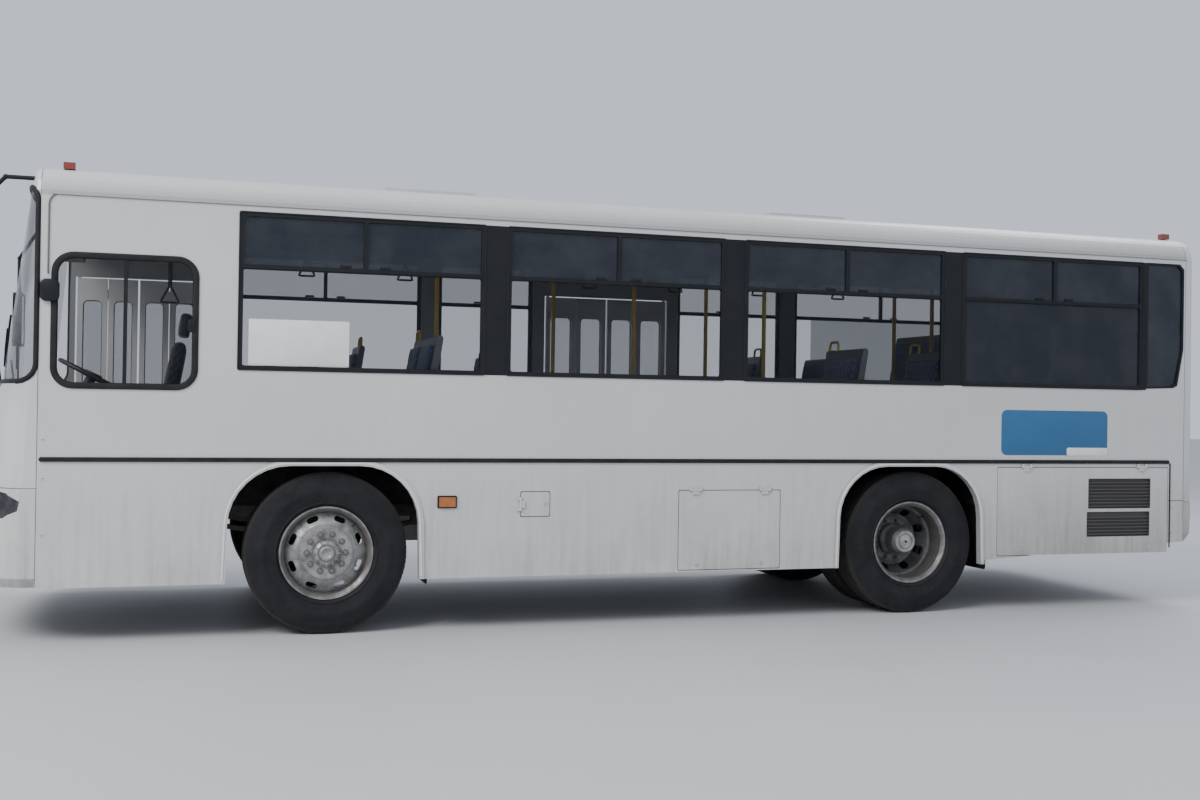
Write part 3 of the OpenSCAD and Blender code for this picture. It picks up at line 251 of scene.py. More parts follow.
def around(obj, count):
    """Copies of a piece turned about Z, joined with it."""
    return joined([obj] + [twin(obj, turned(360 * i / count, "Z")) for i in range(1, count)])


def settle(obj, name, finish, body="bus_body", place=(0, 0, 0), facing="up", edge=0.0, smooth=35, slot=None):
    """Turns a piece to its facing, puts it in place for good, rounds its edges and lets it ride on a body.
    slot, given where the finish isn't in SLOTS or the piece takes another one, is not used."""
    active(obj)
    obj.name = name
    obj.data.name = name
    obj.matrix_world = moved(place) @ lying(facing)
    bpy.ops.object.transform_apply(location=True, rotation=True, scale=True)
    if edge:
        eased(obj, edge)
    active(obj)
    bpy.ops.object.shade_smooth_by_angle(angle=math.radians(smooth))
    obj.data.materials.clear()
    obj.data.materials.append(finish)
    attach(obj, body)
    slot = slot or SLOTS.get(finish)
    return obj


def block(kind, *size):
    """A cube or a plane of a size, about the origin."""
    obj = active(add(kind, size=1.0))
    obj.scale = size
    bpy.ops.object.transform_apply(location=False, rotation=False, scale=True)
    return obj


def rounded_outline(width, height, corner, steps=5):
    """A flat face with rounded corners, face up at the origin."""
    obj = block("plane", width, height, 1)
    open_mesh(obj, "VERT")
    pick()
    bpy.ops.mesh.bevel(affect="VERTICES", offset=corner, offset_type="OFFSET", segments=steps, profile=0.5)
    close_mesh()
    return obj


def raised(obj, thickness):
    """A flat outline given its thickness."""
    open_mesh(obj)
    pick()
    bpy.ops.mesh.extrude_region_move(TRANSFORM_OT_translate={"value": (0, 0, thickness)})
    pick()
    bpy.ops.mesh.normals_make_consistent(inside=False)
    close_mesh()
    return obj


def plate(name, size, thickness, corner, place, facing, finish, body="bus_body", edge=0.0015, slot=None):
    """A rounded plate whose back lies at its place; size is its width and height."""
    obj = raised(rounded_outline(*size, corner), thickness)
    return settle(obj, name, finish, body, place, facing, edge, slot=slot)


def ring(name, size, border, thickness, corner, place, facing, finish, body="bus_body", edge=0.0015, steps=8,
         slot=None):
    """A rounded frame whose back lies at its place; border is the width of its bars."""
    obj = rounded_outline(*size, corner, steps)
    open_mesh(obj)
    pick()
    bpy.ops.mesh.inset(thickness=border, depth=0)
    bpy.ops.mesh.delete(type="FACE")
    close_mesh()
    return settle(raised(obj, thickness), name, finish, body, place, facing, edge, slot=slot)


def tube(name, points, radius, finish, body="bus_body", closed=False, slot=None):
    """A round bar bent through points."""
    deselect()
    bpy.ops.curve.primitive_nurbs_path_add()
    obj = bpy.context.object
    obj.data.splines.clear()
    line = obj.data.splines.new("POLY")
    line.points.add(len(points) - 1)
    for point, place in zip(line.points, points):
        point.co = (*place, 1)
    line.use_cyclic_u = closed
    obj.data.bevel_depth = radius
    obj.data.bevel_resolution = 2
    obj.data.use_fill_caps = not closed
    active(obj)
    bpy.ops.object.convert(target="MESH")
    obj = bpy.context.object
    open_mesh(obj, "VERT")
    pick()
    bpy.ops.mesh.remove_doubles(threshold=0.0001)
    bpy.ops.mesh.normals_make_consistent(inside=False)
    close_mesh()
    return settle(obj, name, finish, body, smooth=50, slot=slot)


def bend(centre, radius, start, end, count=6):
    """Points of an arc in the side view, between two angles."""
    points = []
    for i in range(count + 1):
        angle = math.radians(start + (end - start) * i / count)
        points.append(Vector(centre) + Vector((math.cos(angle), 0, math.sin(angle))) * radius)
    return points


def surface_at(node, start, direction):
    """Where a line meets a node of the frame."""
    hit, place = NODES[node].ray_cast(Vector(start), Vector(direction))[:2]
    if not hit:
        raise ValueError(f"nothing of {node} lies along {start}")
    return place


def over_front(y, z, lift, node="front_bumper"):
    """A point in front of the nose, so far off a node's surface."""
    return Vector((surface_at(node, (6.0, y, z), (-1, 0, 0)).x + lift, y, z))


def over_rear(y, z, lift, node="rear_bumper"):
    """A point behind the tail, so far off a node's surface."""
    return Vector((surface_at(node, (-6.0, y, z), (1, 0, 0)).x - lift, y, z))


def on_wall(sign, x, z, out=-0.0005):
    """A point on the outside of a body side, so far out of it."""
    return (x, sign * (WALL_Y + out), z)


# Materials


class Shade:
    """A material in the making: its methods add nodes and give back their result."""

    def __init__(self, name):
        self.material = bpy.data.materials.new(name)
        self.material.use_nodes = True
        self.tree = self.material.node_tree
        self.shader = self.tree.nodes["Principled BSDF"]
        self.place = self.node("TexCoord").outputs["Object"]
        self.axes = self.parts(self.place)
        self.x, self.y, self.z = self.axes

    def put(self, socket, value):
        """Gives a socket a link, a number or a colour."""
        if isinstance(value, bpy.types.NodeSocket):
            self.tree.links.new(value, socket)
        else:
            socket.default_value = (*value, 1.0) if isinstance(value, tuple) else value

    def node(self, kind, **inputs):
        """A node with its inputs, whose names are written with _ for a space."""
        node = self.tree.nodes.new(f"ShaderNode{kind}")
        for name, value in inputs.items():
            self.put(node.inputs[name.replace("_", " ")], value)
        return node

    def finish(self, **inputs):
        """Gives the shader its inputs and hands over the material."""
        for name, value in inputs.items():
            self.put(self.shader.inputs[name.replace("_", " ")], value)
        return self.material

    def parts(self, vector):
        outputs = self.node("SeparateXYZ", Vector=vector).outputs
        return outputs["X"], outputs["Y"], outputs["Z"]

    def normal(self):
        """The parts of the surface's own direction."""
        return self.parts(self.node("TexCoord").outputs["Normal"])

    def noise(self, scale, detail=4.0, roughness=0.5, stretch=None):
        """A noise pattern, its place stretched along each axis where stretch says."""
        place = self.place
        if stretch:
            place = self.node("Mapping", Vector=place, Scale=stretch).outputs["Vector"]
        return self.node("TexNoise", Vector=place, Scale=scale, Detail=detail, Roughness=roughness).outputs["Fac"]

    def spread(self, value, low, high, to_low=0.0, to_high=1.0):
        """A value carried from one range to another and held at its ends."""
        return self.node("MapRange", Value=value, From_Min=low, From_Max=high,
                         To_Min=to_low, To_Max=to_high).outputs["Result"]

    def patches(self, low, high, *pattern):
        """Patches of noise: nothing below a low level of it and one above a high level."""
        return self.spread(self.noise(*pattern), low, high)

    def mix(self, factor, first, second):
        """Two colours mixed by a factor."""
        node = self.tree.nodes.new("ShaderNodeMix")
        node.data_type = "RGBA"
        colours = [socket for socket in node.inputs if socket.type == "RGBA"]
        for socket, value in zip((node.inputs[0], *colours), (factor, first, second)):
            self.put(socket, value)
        return next(socket for socket in node.outputs if socket.type == "RGBA")

    def combine(self, operation, *values):
        """An operation on one value, or on several in turn."""
        result = values[0]
        for value in values[1:] or (0.0,):
            node = self.tree.nodes.new("ShaderNodeMath")
            node.operation = operation
            self.put(node.inputs[0], result)
            self.put(node.inputs[1], value)
            result = node.outputs["Value"]
        return result

    def times(self, *values):
        return self.combine("MULTIPLY", *values)

    def plus(self, *values):
        return self.combine("ADD", *values)

    def minus(self, first, second):
        return self.combine("SUBTRACT", first, second)

    def size(self, value):
        return self.combine("ABSOLUTE", value)

    def capped(self, value):
        return self.combine("MINIMUM", value, 1.0)

    def wave(self, value, rate):
        return self.combine("SINE", self.times(value, rate))

    def distance(self, across, up):
        return self.combine("SQRT", self.plus(self.times(across, across), self.times(up, up)))

    def between(self, value, low, high, soft=0.0006):
        """One inside a range and nothing outside it."""
        rise = self.spread(value, low - soft, low + soft)
        return self.times(rise, self.spread(value, high - soft, high + soft, 1.0, 0.0))

    def in_box(self, rear, front, low, high, soft=0.002):
        """One inside a rectangle of the side view."""
        return self.times(self.between(self.x, rear, front, soft), self.between(self.z, low, high, soft))

    def axle_radius(self):
        """Distance from the nearer axle, in the side view."""
        front, rear = (self.size(self.minus(self.x, axle)) for end, axle in AXLES)
        return self.distance(self.combine("MINIMUM", front, rear), self.minus(self.z, HUB_Z))

    def bump(self, height, strength, distance):
        self.finish(Normal=self.node("Bump", Strength=strength, Distance=distance, Height=height).outputs["Normal"])

    def dusted_and_shaded(self, colour, dirt):
        """Dust and painted shade on a colour: thick low down and behind the rear wheels, with blotches and streaks."""
        low = self.spread(self.z, 0.35, 1.15, 1.0, 0.0)
        blotch = self.patches(0.35, 0.72, 2.2, 6.0, 0.6)
        streak = self.patches(0.45, 0.75, 3.0, 5.0, 0.6, Vector((7.0, 7.0, 0.6)))
        # Thicker towards the lower rear: road dust, and painted shade of the lower rear
        rear_dust_and_shade = self.times(low, self.spread(self.x, REAR_AXLE_X - 1.3, REAR_AXLE_X + 0.3, 1.0, 0.0), 1.1)
        dust_and_shade = self.times(self.plus(self.times(self.plus(low, 0.2), self.plus(blotch, streak)), rear_dust_and_shade), dirt)
        clean = self.mix(self.patches(0.3, 0.7, 0.8, 2.0), colour, tuple(c * 0.94 for c in colour))
        return dust_and_shade, self.mix(dust_and_shade, clean, ROAD_DUST_AND_SHADE)


WHITE = (0.62, 0.62, 0.61)
ROAD_DUST_AND_SHADE = (0.38, 0.36, 0.335)
DARK_DUST = (0.30, 0.27, 0.23)
EAVE_DARK = (0.23, 0.225, 0.235)
SEAM_DARK = (0.05, 0.05, 0.05)
SEAM_HALF = 0.0022
LINING_GREY = (0.30, 0.31, 0.30)


def body_paint(name, colour=WHITE, middle=None, seams=(), dirt=0.4, eave_darkening=None):
    """Old coach paint, with dust and painted shade, dark seam lines and the grey lining on its inner side.
    middle is the point that the outer side faces away from, and seams are pairs of an axis and a place on it.
    The last argument, where given, darkens the paint towards the eaves, fading out between two heights."""
    look = Shade(name)
    dust_and_shade, shown = look.dusted_and_shaded(colour, dirt)
    for axis, at in seams:
        shown = look.mix(look.between(look.axes[axis], at - SEAM_HALF, at + SEAM_HALF), shown, SEAM_DARK)
    if eave_darkening:
        # Darker towards the eaves, fading out upwards
        shown = look.mix(look.spread(look.z, *eave_darkening, 0.6, 0.0), shown, EAVE_DARK)
    if middle:
        outwards = look.plus(*[look.times(part, look.minus(own, at))
                               for part, own, at in zip(look.normal(), look.axes, middle) if at is not None])
        shown = look.mix(look.spread(outwards, 0.15, 0.25, 1.0, 0.0), shown, LINING_GREY)
    look.bump(look.noise(4.0, 3.0), 0.10, 0.01)
    rough = look.spread(dust_and_shade, 0.0, 0.5, 0.28, 0.62)
    return look.finish(Base_Color=shown, Roughness=rough, Coat_Weight=0.3, Coat_Roughness=0.15)


def plain_finish(name, colour, roughness, metallic=0.0, grain=220.0, depth=0.12, worn=0.12, dirt=0.0, gloss=0.5):
    """A moulded or coated surface: fine grain, slightly uneven colour and gloss, and road dust where dirt says."""
    look = Shade(name)
    patch = look.patches(0.3, 0.7, 6.0, 5.0)
    shown = look.mix(patch, colour, tuple(min(1.0, c * (1 + worn) + worn * 0.05) for c in colour))
    if dirt:
        shown = look.mix(look.spread(look.noise(9.0, 6.0, 0.65), 0.35, 0.75, 0.0, dirt), shown, DARK_DUST)
    uneven = look.spread(patch, 0.0, 1.0, roughness * 0.85, min(1.0, roughness * 1.15))
    look.bump(look.noise(grain, 3.0), depth, 0.002)
    return look.finish(Base_Color=shown, Roughness=uneven, Metallic=metallic, Specular_IOR_Level=gloss)


def glazing(name, colour, density, darker=(), glare=1.0):
    """Window glass: tinted, glossier at a slant, with a film of dust.
    darker lists rectangles of the side view, each with its density on the left side and on the right."""
    look = Shade(name)
    film = look.patches(0.4, 0.8, 3.0, 6.0, 0.65)
    slant = look.node("LayerWeight", Blend=0.25).outputs["Fresnel"]
    solid = look.plus(look.times(slant, glare), density)
    for rectangle, left, right in darker:
        extra = look.spread(look.y, -0.5, 0.5, right - density, left - density)
        solid = look.plus(solid, look.times(look.in_box(*rectangle), extra))
    return look.finish(Base_Color=look.mix(film, colour, tuple(min(1.0, c + 0.03) for c in colour)),
                       Roughness=look.spread(film, 0.0, 1.0, 0.02, 0.07), Alpha=look.capped(solid))


def door_paint():
    """Door leaf: coach paint, with its pane clear where the leaf is thin."""
    look = Shade("door_leaf")
    shown = look.dusted_and_shaded(WHITE, 0.4)[1]
    pane = look.times(look.between(look.y, -1.2222, -1.2138), look.spread(look.size(look.normal()[1]), 0.8, 0.9))
    shown = look.mix(pane, shown, (0.02, 0.025, 0.027))
    return look.finish(Base_Color=shown, Roughness=look.spread(pane, 0.0, 1.0, 0.35, 0.04),
                       Alpha=look.spread(pane, 0.0, 1.0, 1.0, 0.38), Coat_Weight=0.3)


def louvre_paint():
    """Engine door: coach paint, with its louvred places dark."""
    look = Shade("engine_door")
    shown = look.dusted_and_shaded(WHITE, 0.5)[1]
    edge = 0.002
    dark = look.capped(look.plus(*[look.in_box(rear - edge, front + edge, low - edge, high + edge)
                                   for rear, front, low, high in GRILLES]))
    look.bump(look.noise(4.0, 3.0), 0.10, 0.01)
    shown = look.mix(dark, shown, (0.075, 0.070, 0.070))
    return look.finish(Base_Color=shown, Roughness=look.spread(dark, 0.0, 1.0, 0.4, 0.6))


def wheel_paint():
    """Silver wheel: dusty, with brake dust, a dark drum behind the front disc and painted shade in the rear dish."""
    look = Shade("wheel_silver")
    radius, out = look.axle_radius(), look.size(look.y)
    at_front = look.spread(look.x, 0.1, 0.2)
    at_rear = look.spread(look.x, 0.1, 0.2, 1.0, 0.0)
    patch = look.patches(0.35, 0.7, 14.0, 6.0, 0.65)
    shown = look.mix(patch, (0.44, 0.44, 0.44), (0.17, 0.165, 0.155))
    # Rings of soot: inner and outer radius, softness, strength
    rings = ((0.050, 0.058, 0.003, 0.7), (0.255, 0.290, 0.012, 0.75), (0.165, 0.185, 0.010, 0.45),
             (0.078, 0.100, 0.008, 0.5))
    soot = look.plus(*[look.times(look.between(radius, low, high, soft), strength)
                       for low, high, soft, strength in rings])
    shown = look.mix(look.capped(soot), shown, (0.08, 0.07, 0.06))
    # Painted shade, darker deeper inside the dish of the rear wheels
    dish_shade = look.times(look.between(radius, 0.122, 0.262, 0.006), look.spread(out, 1.150, 1.170, 0.72, 0.0), at_rear)
    shown = look.mix(dish_shade, shown, (0.055, 0.052, 0.055))
    drum = look.times(look.between(out, 0.995, 1.136, 0.002), look.spread(radius, 0.209, 0.212, 1.0, 0.0), at_front)
    shown = look.mix(drum, shown, (0.045, 0.04, 0.037))
    look.bump(look.noise(70.0, 3.0), 0.12, 0.002)
    return look.finish(Base_Color=shown, Roughness=look.spread(patch, 0.0, 1.0, 0.34, 0.6), Metallic=0.55)


def tyre_finish():
    """Weathered tyre: greyer sidewall with moulded rings, dust on the tread."""
    look = Shade("tyre_rubber")
    radius = look.axle_radius()
    shown = look.mix(look.patches(0.3, 0.75, 8.0, 6.0, 0.7), (0.008, 0.008, 0.010), (0.022, 0.021, 0.023))
    shown = look.mix(look.spread(radius, 0.498, 0.508, 0.0, 0.5), shown, (0.06, 0.055, 0.050))
    ringed = look.plus(*[look.between(radius, low, high, 0.004) for low, high in ((0.33, 0.37), (0.45, 0.485))])
    rings = look.times(look.wave(radius, 900.0), look.capped(ringed))
    look.bump(look.plus(rings, look.times(look.noise(160.0, 3.0), 0.6)), 0.25, 0.0015)
    return look.finish(Base_Color=shown, Roughness=0.78, Specular_IOR_Level=0.3)


def woven_cloth(name, ground, figure):
    """Woven seat plush: threads, a small two-tone check and a worn nap."""
    look = Shade(name)
    thread, check_rate = 0.0022, 130.0
    rise = look.plus(look.x, look.z)
    weave = look.times(look.wave(look.y, math.pi / thread), look.wave(rise, math.pi / thread))
    check = look.times(look.wave(look.y, check_rate), look.wave(rise, check_rate))
    shown = look.mix(look.spread(check, 0.35, 0.5), ground, figure)
    nap = tuple(min(1, c * 1.8 + 0.02) for c in ground)
    shown = look.mix(look.times(look.patches(0.35, 0.7, 7.0, 5.0), 0.4), shown, nap)
    look.bump(weave, 0.5, 0.0008)
    return look.finish(Base_Color=shown, Roughness=0.92, Sheen_Weight=0.4)


def lens(name, colour, rib=0.012, axis=2, bands=()):
    """Lamp lens: glossy moulded plastic with fine ribs; bands are (low, high, colour) along Z."""
    look = Shade(name)
    shown = look.mix(look.patches(0.3, 0.7, 20.0, 2.0), colour, tuple(c * 0.7 for c in colour))
    for low, high, band_colour in bands:
        shown = look.mix(look.between(look.z, low, high), shown, band_colour)
    look.bump(look.wave(look.axes[axis], 2 * math.pi / rib), 0.35, 0.0015)
    return look.finish(Base_Color=shown, Roughness=0.16, Coat_Weight=0.6)


def headlamp_finish():
    """Headlamp seen through its cover: bowls with a painted reflection in a dark housing, a slim amber lamp,
    and a smoked end with faint painted highlights.
    """
    look = Shade("headlamp_cover")
    out, up = look.size(look.y), look.minus(look.z, LAMP_Z)
    shown = look.mix(look.patches(0.3, 0.7, 12.0, 4.0), (0.06, 0.062, 0.066), (0.11, 0.112, 0.118))
    for middle, size in ((0.895, 0.072), (1.045, 0.066)):
        radius = look.distance(look.minus(out, middle), up)
        # Each bowl: a painted reflection, bright in its middle and greyer towards its rim
        bowl_reflection = look.mix(look.spread(radius, 0.015, size), (0.80, 0.81, 0.82), (0.38, 0.39, 0.41))
        shown = look.mix(look.spread(radius, size - 0.002, size, 1.0, 0.0), shown, bowl_reflection)
        shown = look.mix(look.spread(radius, 0.012, 0.016, 1.0, 0.0), shown, (0.92, 0.90, 0.82))
        shown = look.mix(look.between(radius, size - 0.001, size + 0.005), shown, (0.65, 0.66, 0.67))
    shown = look.mix(look.between(out, 1.118, 1.158, 0.002), shown, (0.50, 0.17, 0.03))
    # The smoked end: dark, with paler patches as faint painted highlights
    smoke_and_glints = look.mix(look.patches(0.45, 0.75, 26.0, 3.0), (0.008, 0.008, 0.011), (0.050, 0.050, 0.060))
    shown = look.mix(look.spread(out, 1.160, 1.162), shown, smoke_and_glints)
    look.bump(look.wave(look.y, 2 * math.pi / 0.009), 0.12, 0.001)
    return look.finish(Base_Color=shown, Roughness=0.12, Coat_Weight=1.0, Coat_Roughness=0.03)


# Seams where the side panels meet the nose and the tail: the axis along the bus, and the place on it
NOSE_SEAM, TAIL_SEAM = (0, NOSE_X + 0.002), (0, TAIL_X - 0.002)
SIDE_PAINT = body_paint("coach_white_sides", middle=(None, 0.0, None))
ROOF_PAINT = body_paint("coach_white_roof", middle=(None, 0.0, 1.6), dirt=0.5, eave_darkening=(EAVE_Z - 0.01, EAVE_Z + 0.115))
FRONT_PAINT = body_paint("coach_white_front", middle=(3.0, 0.0, 1.8), seams=((2, 0.9395), NOSE_SEAM))
BUMPER_PAINT = body_paint("coach_white_bumper", middle=(3.0, 0.0, 0.8), seams=(NOSE_SEAM,), dirt=0.6)
REAR_PAINT = body_paint("coach_white_rear", middle=(-3.4, 0.0, 1.8), seams=((2, 0.8015), TAIL_SEAM), dirt=0.55)
REAR_BUMPER_PAINT = body_paint("coach_white_rear_bumper", middle=(-3.4, 0.0, 0.7), seams=(TAIL_SEAM,), dirt=0.8)
FLAP_PAINT = body_paint("coach_white_flaps", dirt=0.5)
LEAF_PAINT = door_paint()
LEAF_SKIN = body_paint("leaf_skin", dirt=0.6)
# Cleaner, brighter white for the arch beads: a painted highlight along the lips
ARCH_HIGHLIGHT_WHITE = body_paint("arch_bead_painted_highlight", (0.72, 0.72, 0.72), dirt=0.15)
ENGINE_DOOR_PAINT = louvre_paint()
BLACK_TRIM = plain_finish("black_trim", (0.007, 0.008, 0.011), 0.5, worn=0.06, gloss=0.3)
RUBBER = plain_finish("rubber_seal", (0.007, 0.007, 0.009), 0.65, worn=0.05, dirt=0.05, gloss=0.3)
CHASSIS = plain_finish("chassis_black", (0.035, 0.034, 0.033), 0.6, worn=0.4, dirt=0.5)
UNDERSEAL = plain_finish("underseal", (0.020, 0.020, 0.021), 0.85, grain=90.0, depth=0.4, dirt=0.22, gloss=0.2)
CLEAR_GLASS = glazing("windscreen_glass", (0.03, 0.04, 0.04), 0.03, glare=0.35)
# Dark blue: partly the glass's own tint and partly a painted reflection of the sky
SIDE_GLASS = glazing("side_glass_tint_and_sky", (0.010, 0.014, 0.024), 0.13, darker=(
    ((TAIL_X + 0.36, DRIVER_REAR_X - 0.1, DIVIDER_Z, BAND_TOP), 0.80, 0.34),
    ((TAIL_X + 0.38, REAR_BAY_END, BAND_LOW, DIVIDER_Z), 0.66, 0.45),
    ((TAIL_X - 0.10, QUARTER_X, BAND_LOW, BAND_TOP), 0.86, 0.80),
    ((DRIVER_REAR_X - 0.05, NOSE_X, 1.5, 2.4), 0.08, 0.08),
))
REAR_GLASS = glazing("rear_glass_tint", (0.010, 0.014, 0.022), 0.55)
LINO = plain_finish("floor_lino", (0.16, 0.165, 0.17), 0.6, grain=120.0, dirt=0.3)
GREY_PLASTIC = plain_finish("grey_plastic", (0.14, 0.15, 0.16), 0.55)
DARK_PLASTIC = plain_finish("dark_plastic", (0.03, 0.03, 0.032), 0.5)
SEAT_CLOTH = woven_cloth("seat_cloth", (0.035, 0.06, 0.15), (0.10, 0.16, 0.30))
DRIVER_CLOTH = woven_cloth("driver_cloth", (0.03, 0.03, 0.034), (0.06, 0.06, 0.07))
YELLOW_RAIL = plain_finish("yellow_rail", (0.62, 0.40, 0.03), 0.35)
CAST_IRON = plain_finish("cast_iron", (0.05, 0.048, 0.046), 0.7, 0.4, grain=60.0, depth=0.4, dirt=0.4)
STEEL = plain_finish("bright_steel", (0.55, 0.55, 0.56), 0.28, 0.95, grain=300.0, depth=0.06)
NUT_STEEL = plain_finish("nut_steel", (0.17, 0.16, 0.15), 0.5, 0.7, grain=200.0, depth=0.2, dirt=0.3)
WHEEL_SILVER = wheel_paint()
TYRE_RUBBER = tyre_finish()
AMBER_LENS = lens("amber_lens", (0.46, 0.14, 0.03), axis=0, bands=((2.5, 3.3, (0.22, 0.035, 0.02)),))
TAIL_LENS = lens("tail_lens", (0.36, 0.008, 0.008),
                 bands=((1.205, 1.305, (0.62, 0.20, 0.02)), (1.31, 1.39, (0.55, 0.55, 0.54))))
LAMP_GLASS = lens("fog_lamp_glass", (0.45, 0.46, 0.47), axis=1)
RED_REFLECTOR = lens("red_reflector", (0.42, 0.01, 0.01), rib=0.006, axis=1)
HEADLAMP = headlamp_finish()
HATCH = plain_finish("hatch_plastic", (0.50, 0.51, 0.52), 0.5, dirt=0.25)
LAMP_DIFFUSER = plain_finish("lamp_diffuser", (0.75, 0.76, 0.74), 0.5)
BLANK_WHITE = plain_finish("blank_white", (0.72, 0.72, 0.70), 0.5)
PANEL_BLUE = plain_finish("panel_blue", (0.030, 0.130, 0.280), 0.5, worn=0.05, gloss=0.4)
MIRROR_GLASS = plain_finish("mirror_glass", (0.80, 0.82, 0.84), 0.03, 1.0, grain=2.0, depth=0.02, worn=0.02)
CHANNEL_GREY = plain_finish("channel_grey", (0.13, 0.13, 0.14), 0.6, dirt=0.2, gloss=0.3)

# The record's material slot of each finish, unless a piece says another; no piece is given it here
SLOTS = {
    BLACK_TRIM: "black_trim", RUBBER: "black_rubber", TYRE_RUBBER: "tyre", WHEEL_SILVER: "wheel_silver",
    NUT_STEEL: "wheel_silver", DARK_PLASTIC: "dark_plastic", CHANNEL_GREY: "dark_plastic", LEAF_SKIN: "paint",
    ARCH_HIGHLIGHT_WHITE: "paint", PANEL_BLUE: "paint", LAMP_GLASS: "lamp_clear", RED_REFLECTOR: "lamp_red",
    HATCH: "hatch_plastic", YELLOW_RAIL: "rail_yellow", SEAT_CLOTH: "seat_fabric", DRIVER_CLOTH: "driver_fabric",
}
NODE_FINISHES = (
    (SIDE_PAINT, "side_left side_right"), (ROOF_PAINT, "roof"), (FRONT_PAINT, "front_mask"),
    (BUMPER_PAINT, "front_bumper"), (REAR_PAINT, "rear_panel"), (REAR_BUMPER_PAINT, "rear_bumper"),
    (FLAP_PAINT, "fuel_flap service_flap rear_lid"), (ENGINE_DOOR_PAINT, "engine_door"),
    (CHASSIS, "chassis_frame front_axle springs fuel_tank track_rod"),
    (CAST_IRON, "engine_block rear_axle exhaust knuckle_left knuckle_right"), (UNDERSEAL, "wheel_boxes"),
    (LINO, "floor step_wells"), (CLEAR_GLASS, "windscreen"), (REAR_GLASS, "rear_window"), (SIDE_GLASS, "side_glass"),
    (BLACK_TRIM, "window_frames mirrors wipers"), (RUBBER, "rub_strips"), (HEADLAMP, "headlamps"),
    (TAIL_LENS, "tail_lamps"), (AMBER_LENS, "marker_lamps"), (HATCH, "roof_hatch_front roof_hatch_rear"),
    (DARK_PLASTIC, "destination_box driver_seat dashboard steering_wheel"), (GREY_PLASTIC, "passenger_seats"),
    (SEAT_CLOTH, "seat_pads"), (YELLOW_RAIL, "handrails"),
)
FINISHES = {name: finish for finish, names in NODE_FINISHES for name in names.split()}
for name, node in NODES.items():
    finish = FINISHES.get(name)
    if name.startswith("wheel_") and name != "wheel_boxes":
        finish = WHEEL_SILVER
    elif name.startswith("tyre"):
        finish = TYRE_RUBBER
    elif "_leaf_" in name:
        finish = LEAF_PAINT
    node.data.materials.clear()
    node.data.materials.append(finish)


# Wheels and tyres

TREAD_RADIUS = 0.512
TREAD_WIDTH = 0.208
TREAD_BLOCKS = 96
# Edges of the tread's grooves, on each side of its middle
GROOVES = ((0.019, 0.027), (0.059, 0.067))
# From the shoulder down to the bead: how far each ring steps in, and out
SIDEWALL = (
    (0.007, 0.018), (0.020, 0.009), (0.035, 0.006), (0.030, 0.002), (0.004, 0.0015), (0.028, 0.0), (0.004, -0.0015),
    (0.034, -0.003), (0.022, -0.005), (0.003, 0.003), (0.006, 0.0), (0.004, -0.006), (0.010, -0.010),
    (0.0055, -0.0115), (0.0135, 0.0),
)
# A rear wheel's body carries its twin wheels
WHEEL_WORD = {"front": "wheel", "rear": "wheels"}
# The node that each tyre takes the place of, and how far out its tyres stand
TYRES = {"front": ("tyre_f", (1.072,)), "rear": ("tyres_r", (1.067, 0.747))}


def in_groove(z):
    return any(low < abs(z) < high for low, high in GROOVES)


def tyre_blank():
    """A tyre about Z: grooved ribs with cut blocks, stepped sidewalls and an open bore."""
    obj = cylinder(TREAD_BLOCKS, TREAD_RADIUS, TREAD_WIDTH)
    outermost = TREAD_RADIUS - 0.004
    inner_rib, shoulder = GROOVES[1]
    open_mesh(obj)
    for z in sorted(side * edge for groove in GROOVES for edge in groove for side in (-1, 1)):
        cut((0, 0, z), (0, 0, 1))
    pick_faces(obj, lambda middle, normal: abs(normal.z) < 0.5 and in_groove(middle.z))
    bpy.ops.mesh.inset(thickness=0.001, depth=-0.011)
    pick_faces(obj, lambda middle, normal: abs(normal.z) < 0.1 and middle.xy.length > outermost
               and abs(middle.z) > shoulder)
    bpy.ops.mesh.inset(thickness=0.003, depth=0.006, use_individual=True)
    pick_faces(obj, lambda middle, normal: abs(normal.z) < 0.1 and outermost < middle.xy.length < TREAD_RADIUS + 0.0005
               and abs(middle.z) < inner_rib and not in_groove(middle.z))
    bpy.ops.mesh.inset(thickness=0.0013, depth=0.006, use_individual=True)
    pick_faces(obj, lambda middle, normal: abs(normal.z) > 0.9 and abs(middle.z) > TREAD_WIDTH / 2 - 0.0005)
    for inwards, outwards in SIDEWALL:
        bpy.ops.mesh.inset(thickness=inwards, depth=outwards)
    bpy.ops.mesh.delete(type="FACE")
    bpy.ops.mesh.select_mode(type="EDGE")
    bpy.ops.mesh.select_non_manifold()
    bpy.ops.mesh.bridge_edge_loops()
    close_mesh()
    return obj


def fit_tyres():
    """Six tyres, each wheel's turned a little; the twins of a rear wheel are one piece."""
    blank = tyre_blank()
    angle = 1.3
    for end, x in AXLES:
        node, places = TYRES[end]
        for side, sign in SIDES:
            lie = lying("left") @ turned(angle, "Z")
            tyres = joined([twin(blank, moved((x, sign * y, HUB_Z)) @ lie) for y in places])
            body = f"{end}_{side}_{WHEEL_WORD[end]}"
            settle(tyres, f"{end}_{side}_treaded_tyre", TYRE_RUBBER, body, smooth=28)
            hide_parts(node + side[0])
            angle += 2.1
    bpy.data.objects.remove(blank)


def nut_with_stud():
    """A wheel nut on its washer, with the stud's end standing out of it."""
    chamfer = (0.0025, 0.0015)
    washer = cylinder(20, 0.0215, 0.005, z=0.0025)
    nut = stepped_top(cylinder(6, 0.0185, 0.017, z=0.0130), chamfer)
    stud = stepped_top(cylinder(14, 0.0095, 0.012, z=0.0270), chamfer)
    return joined([washer, nut, stud])


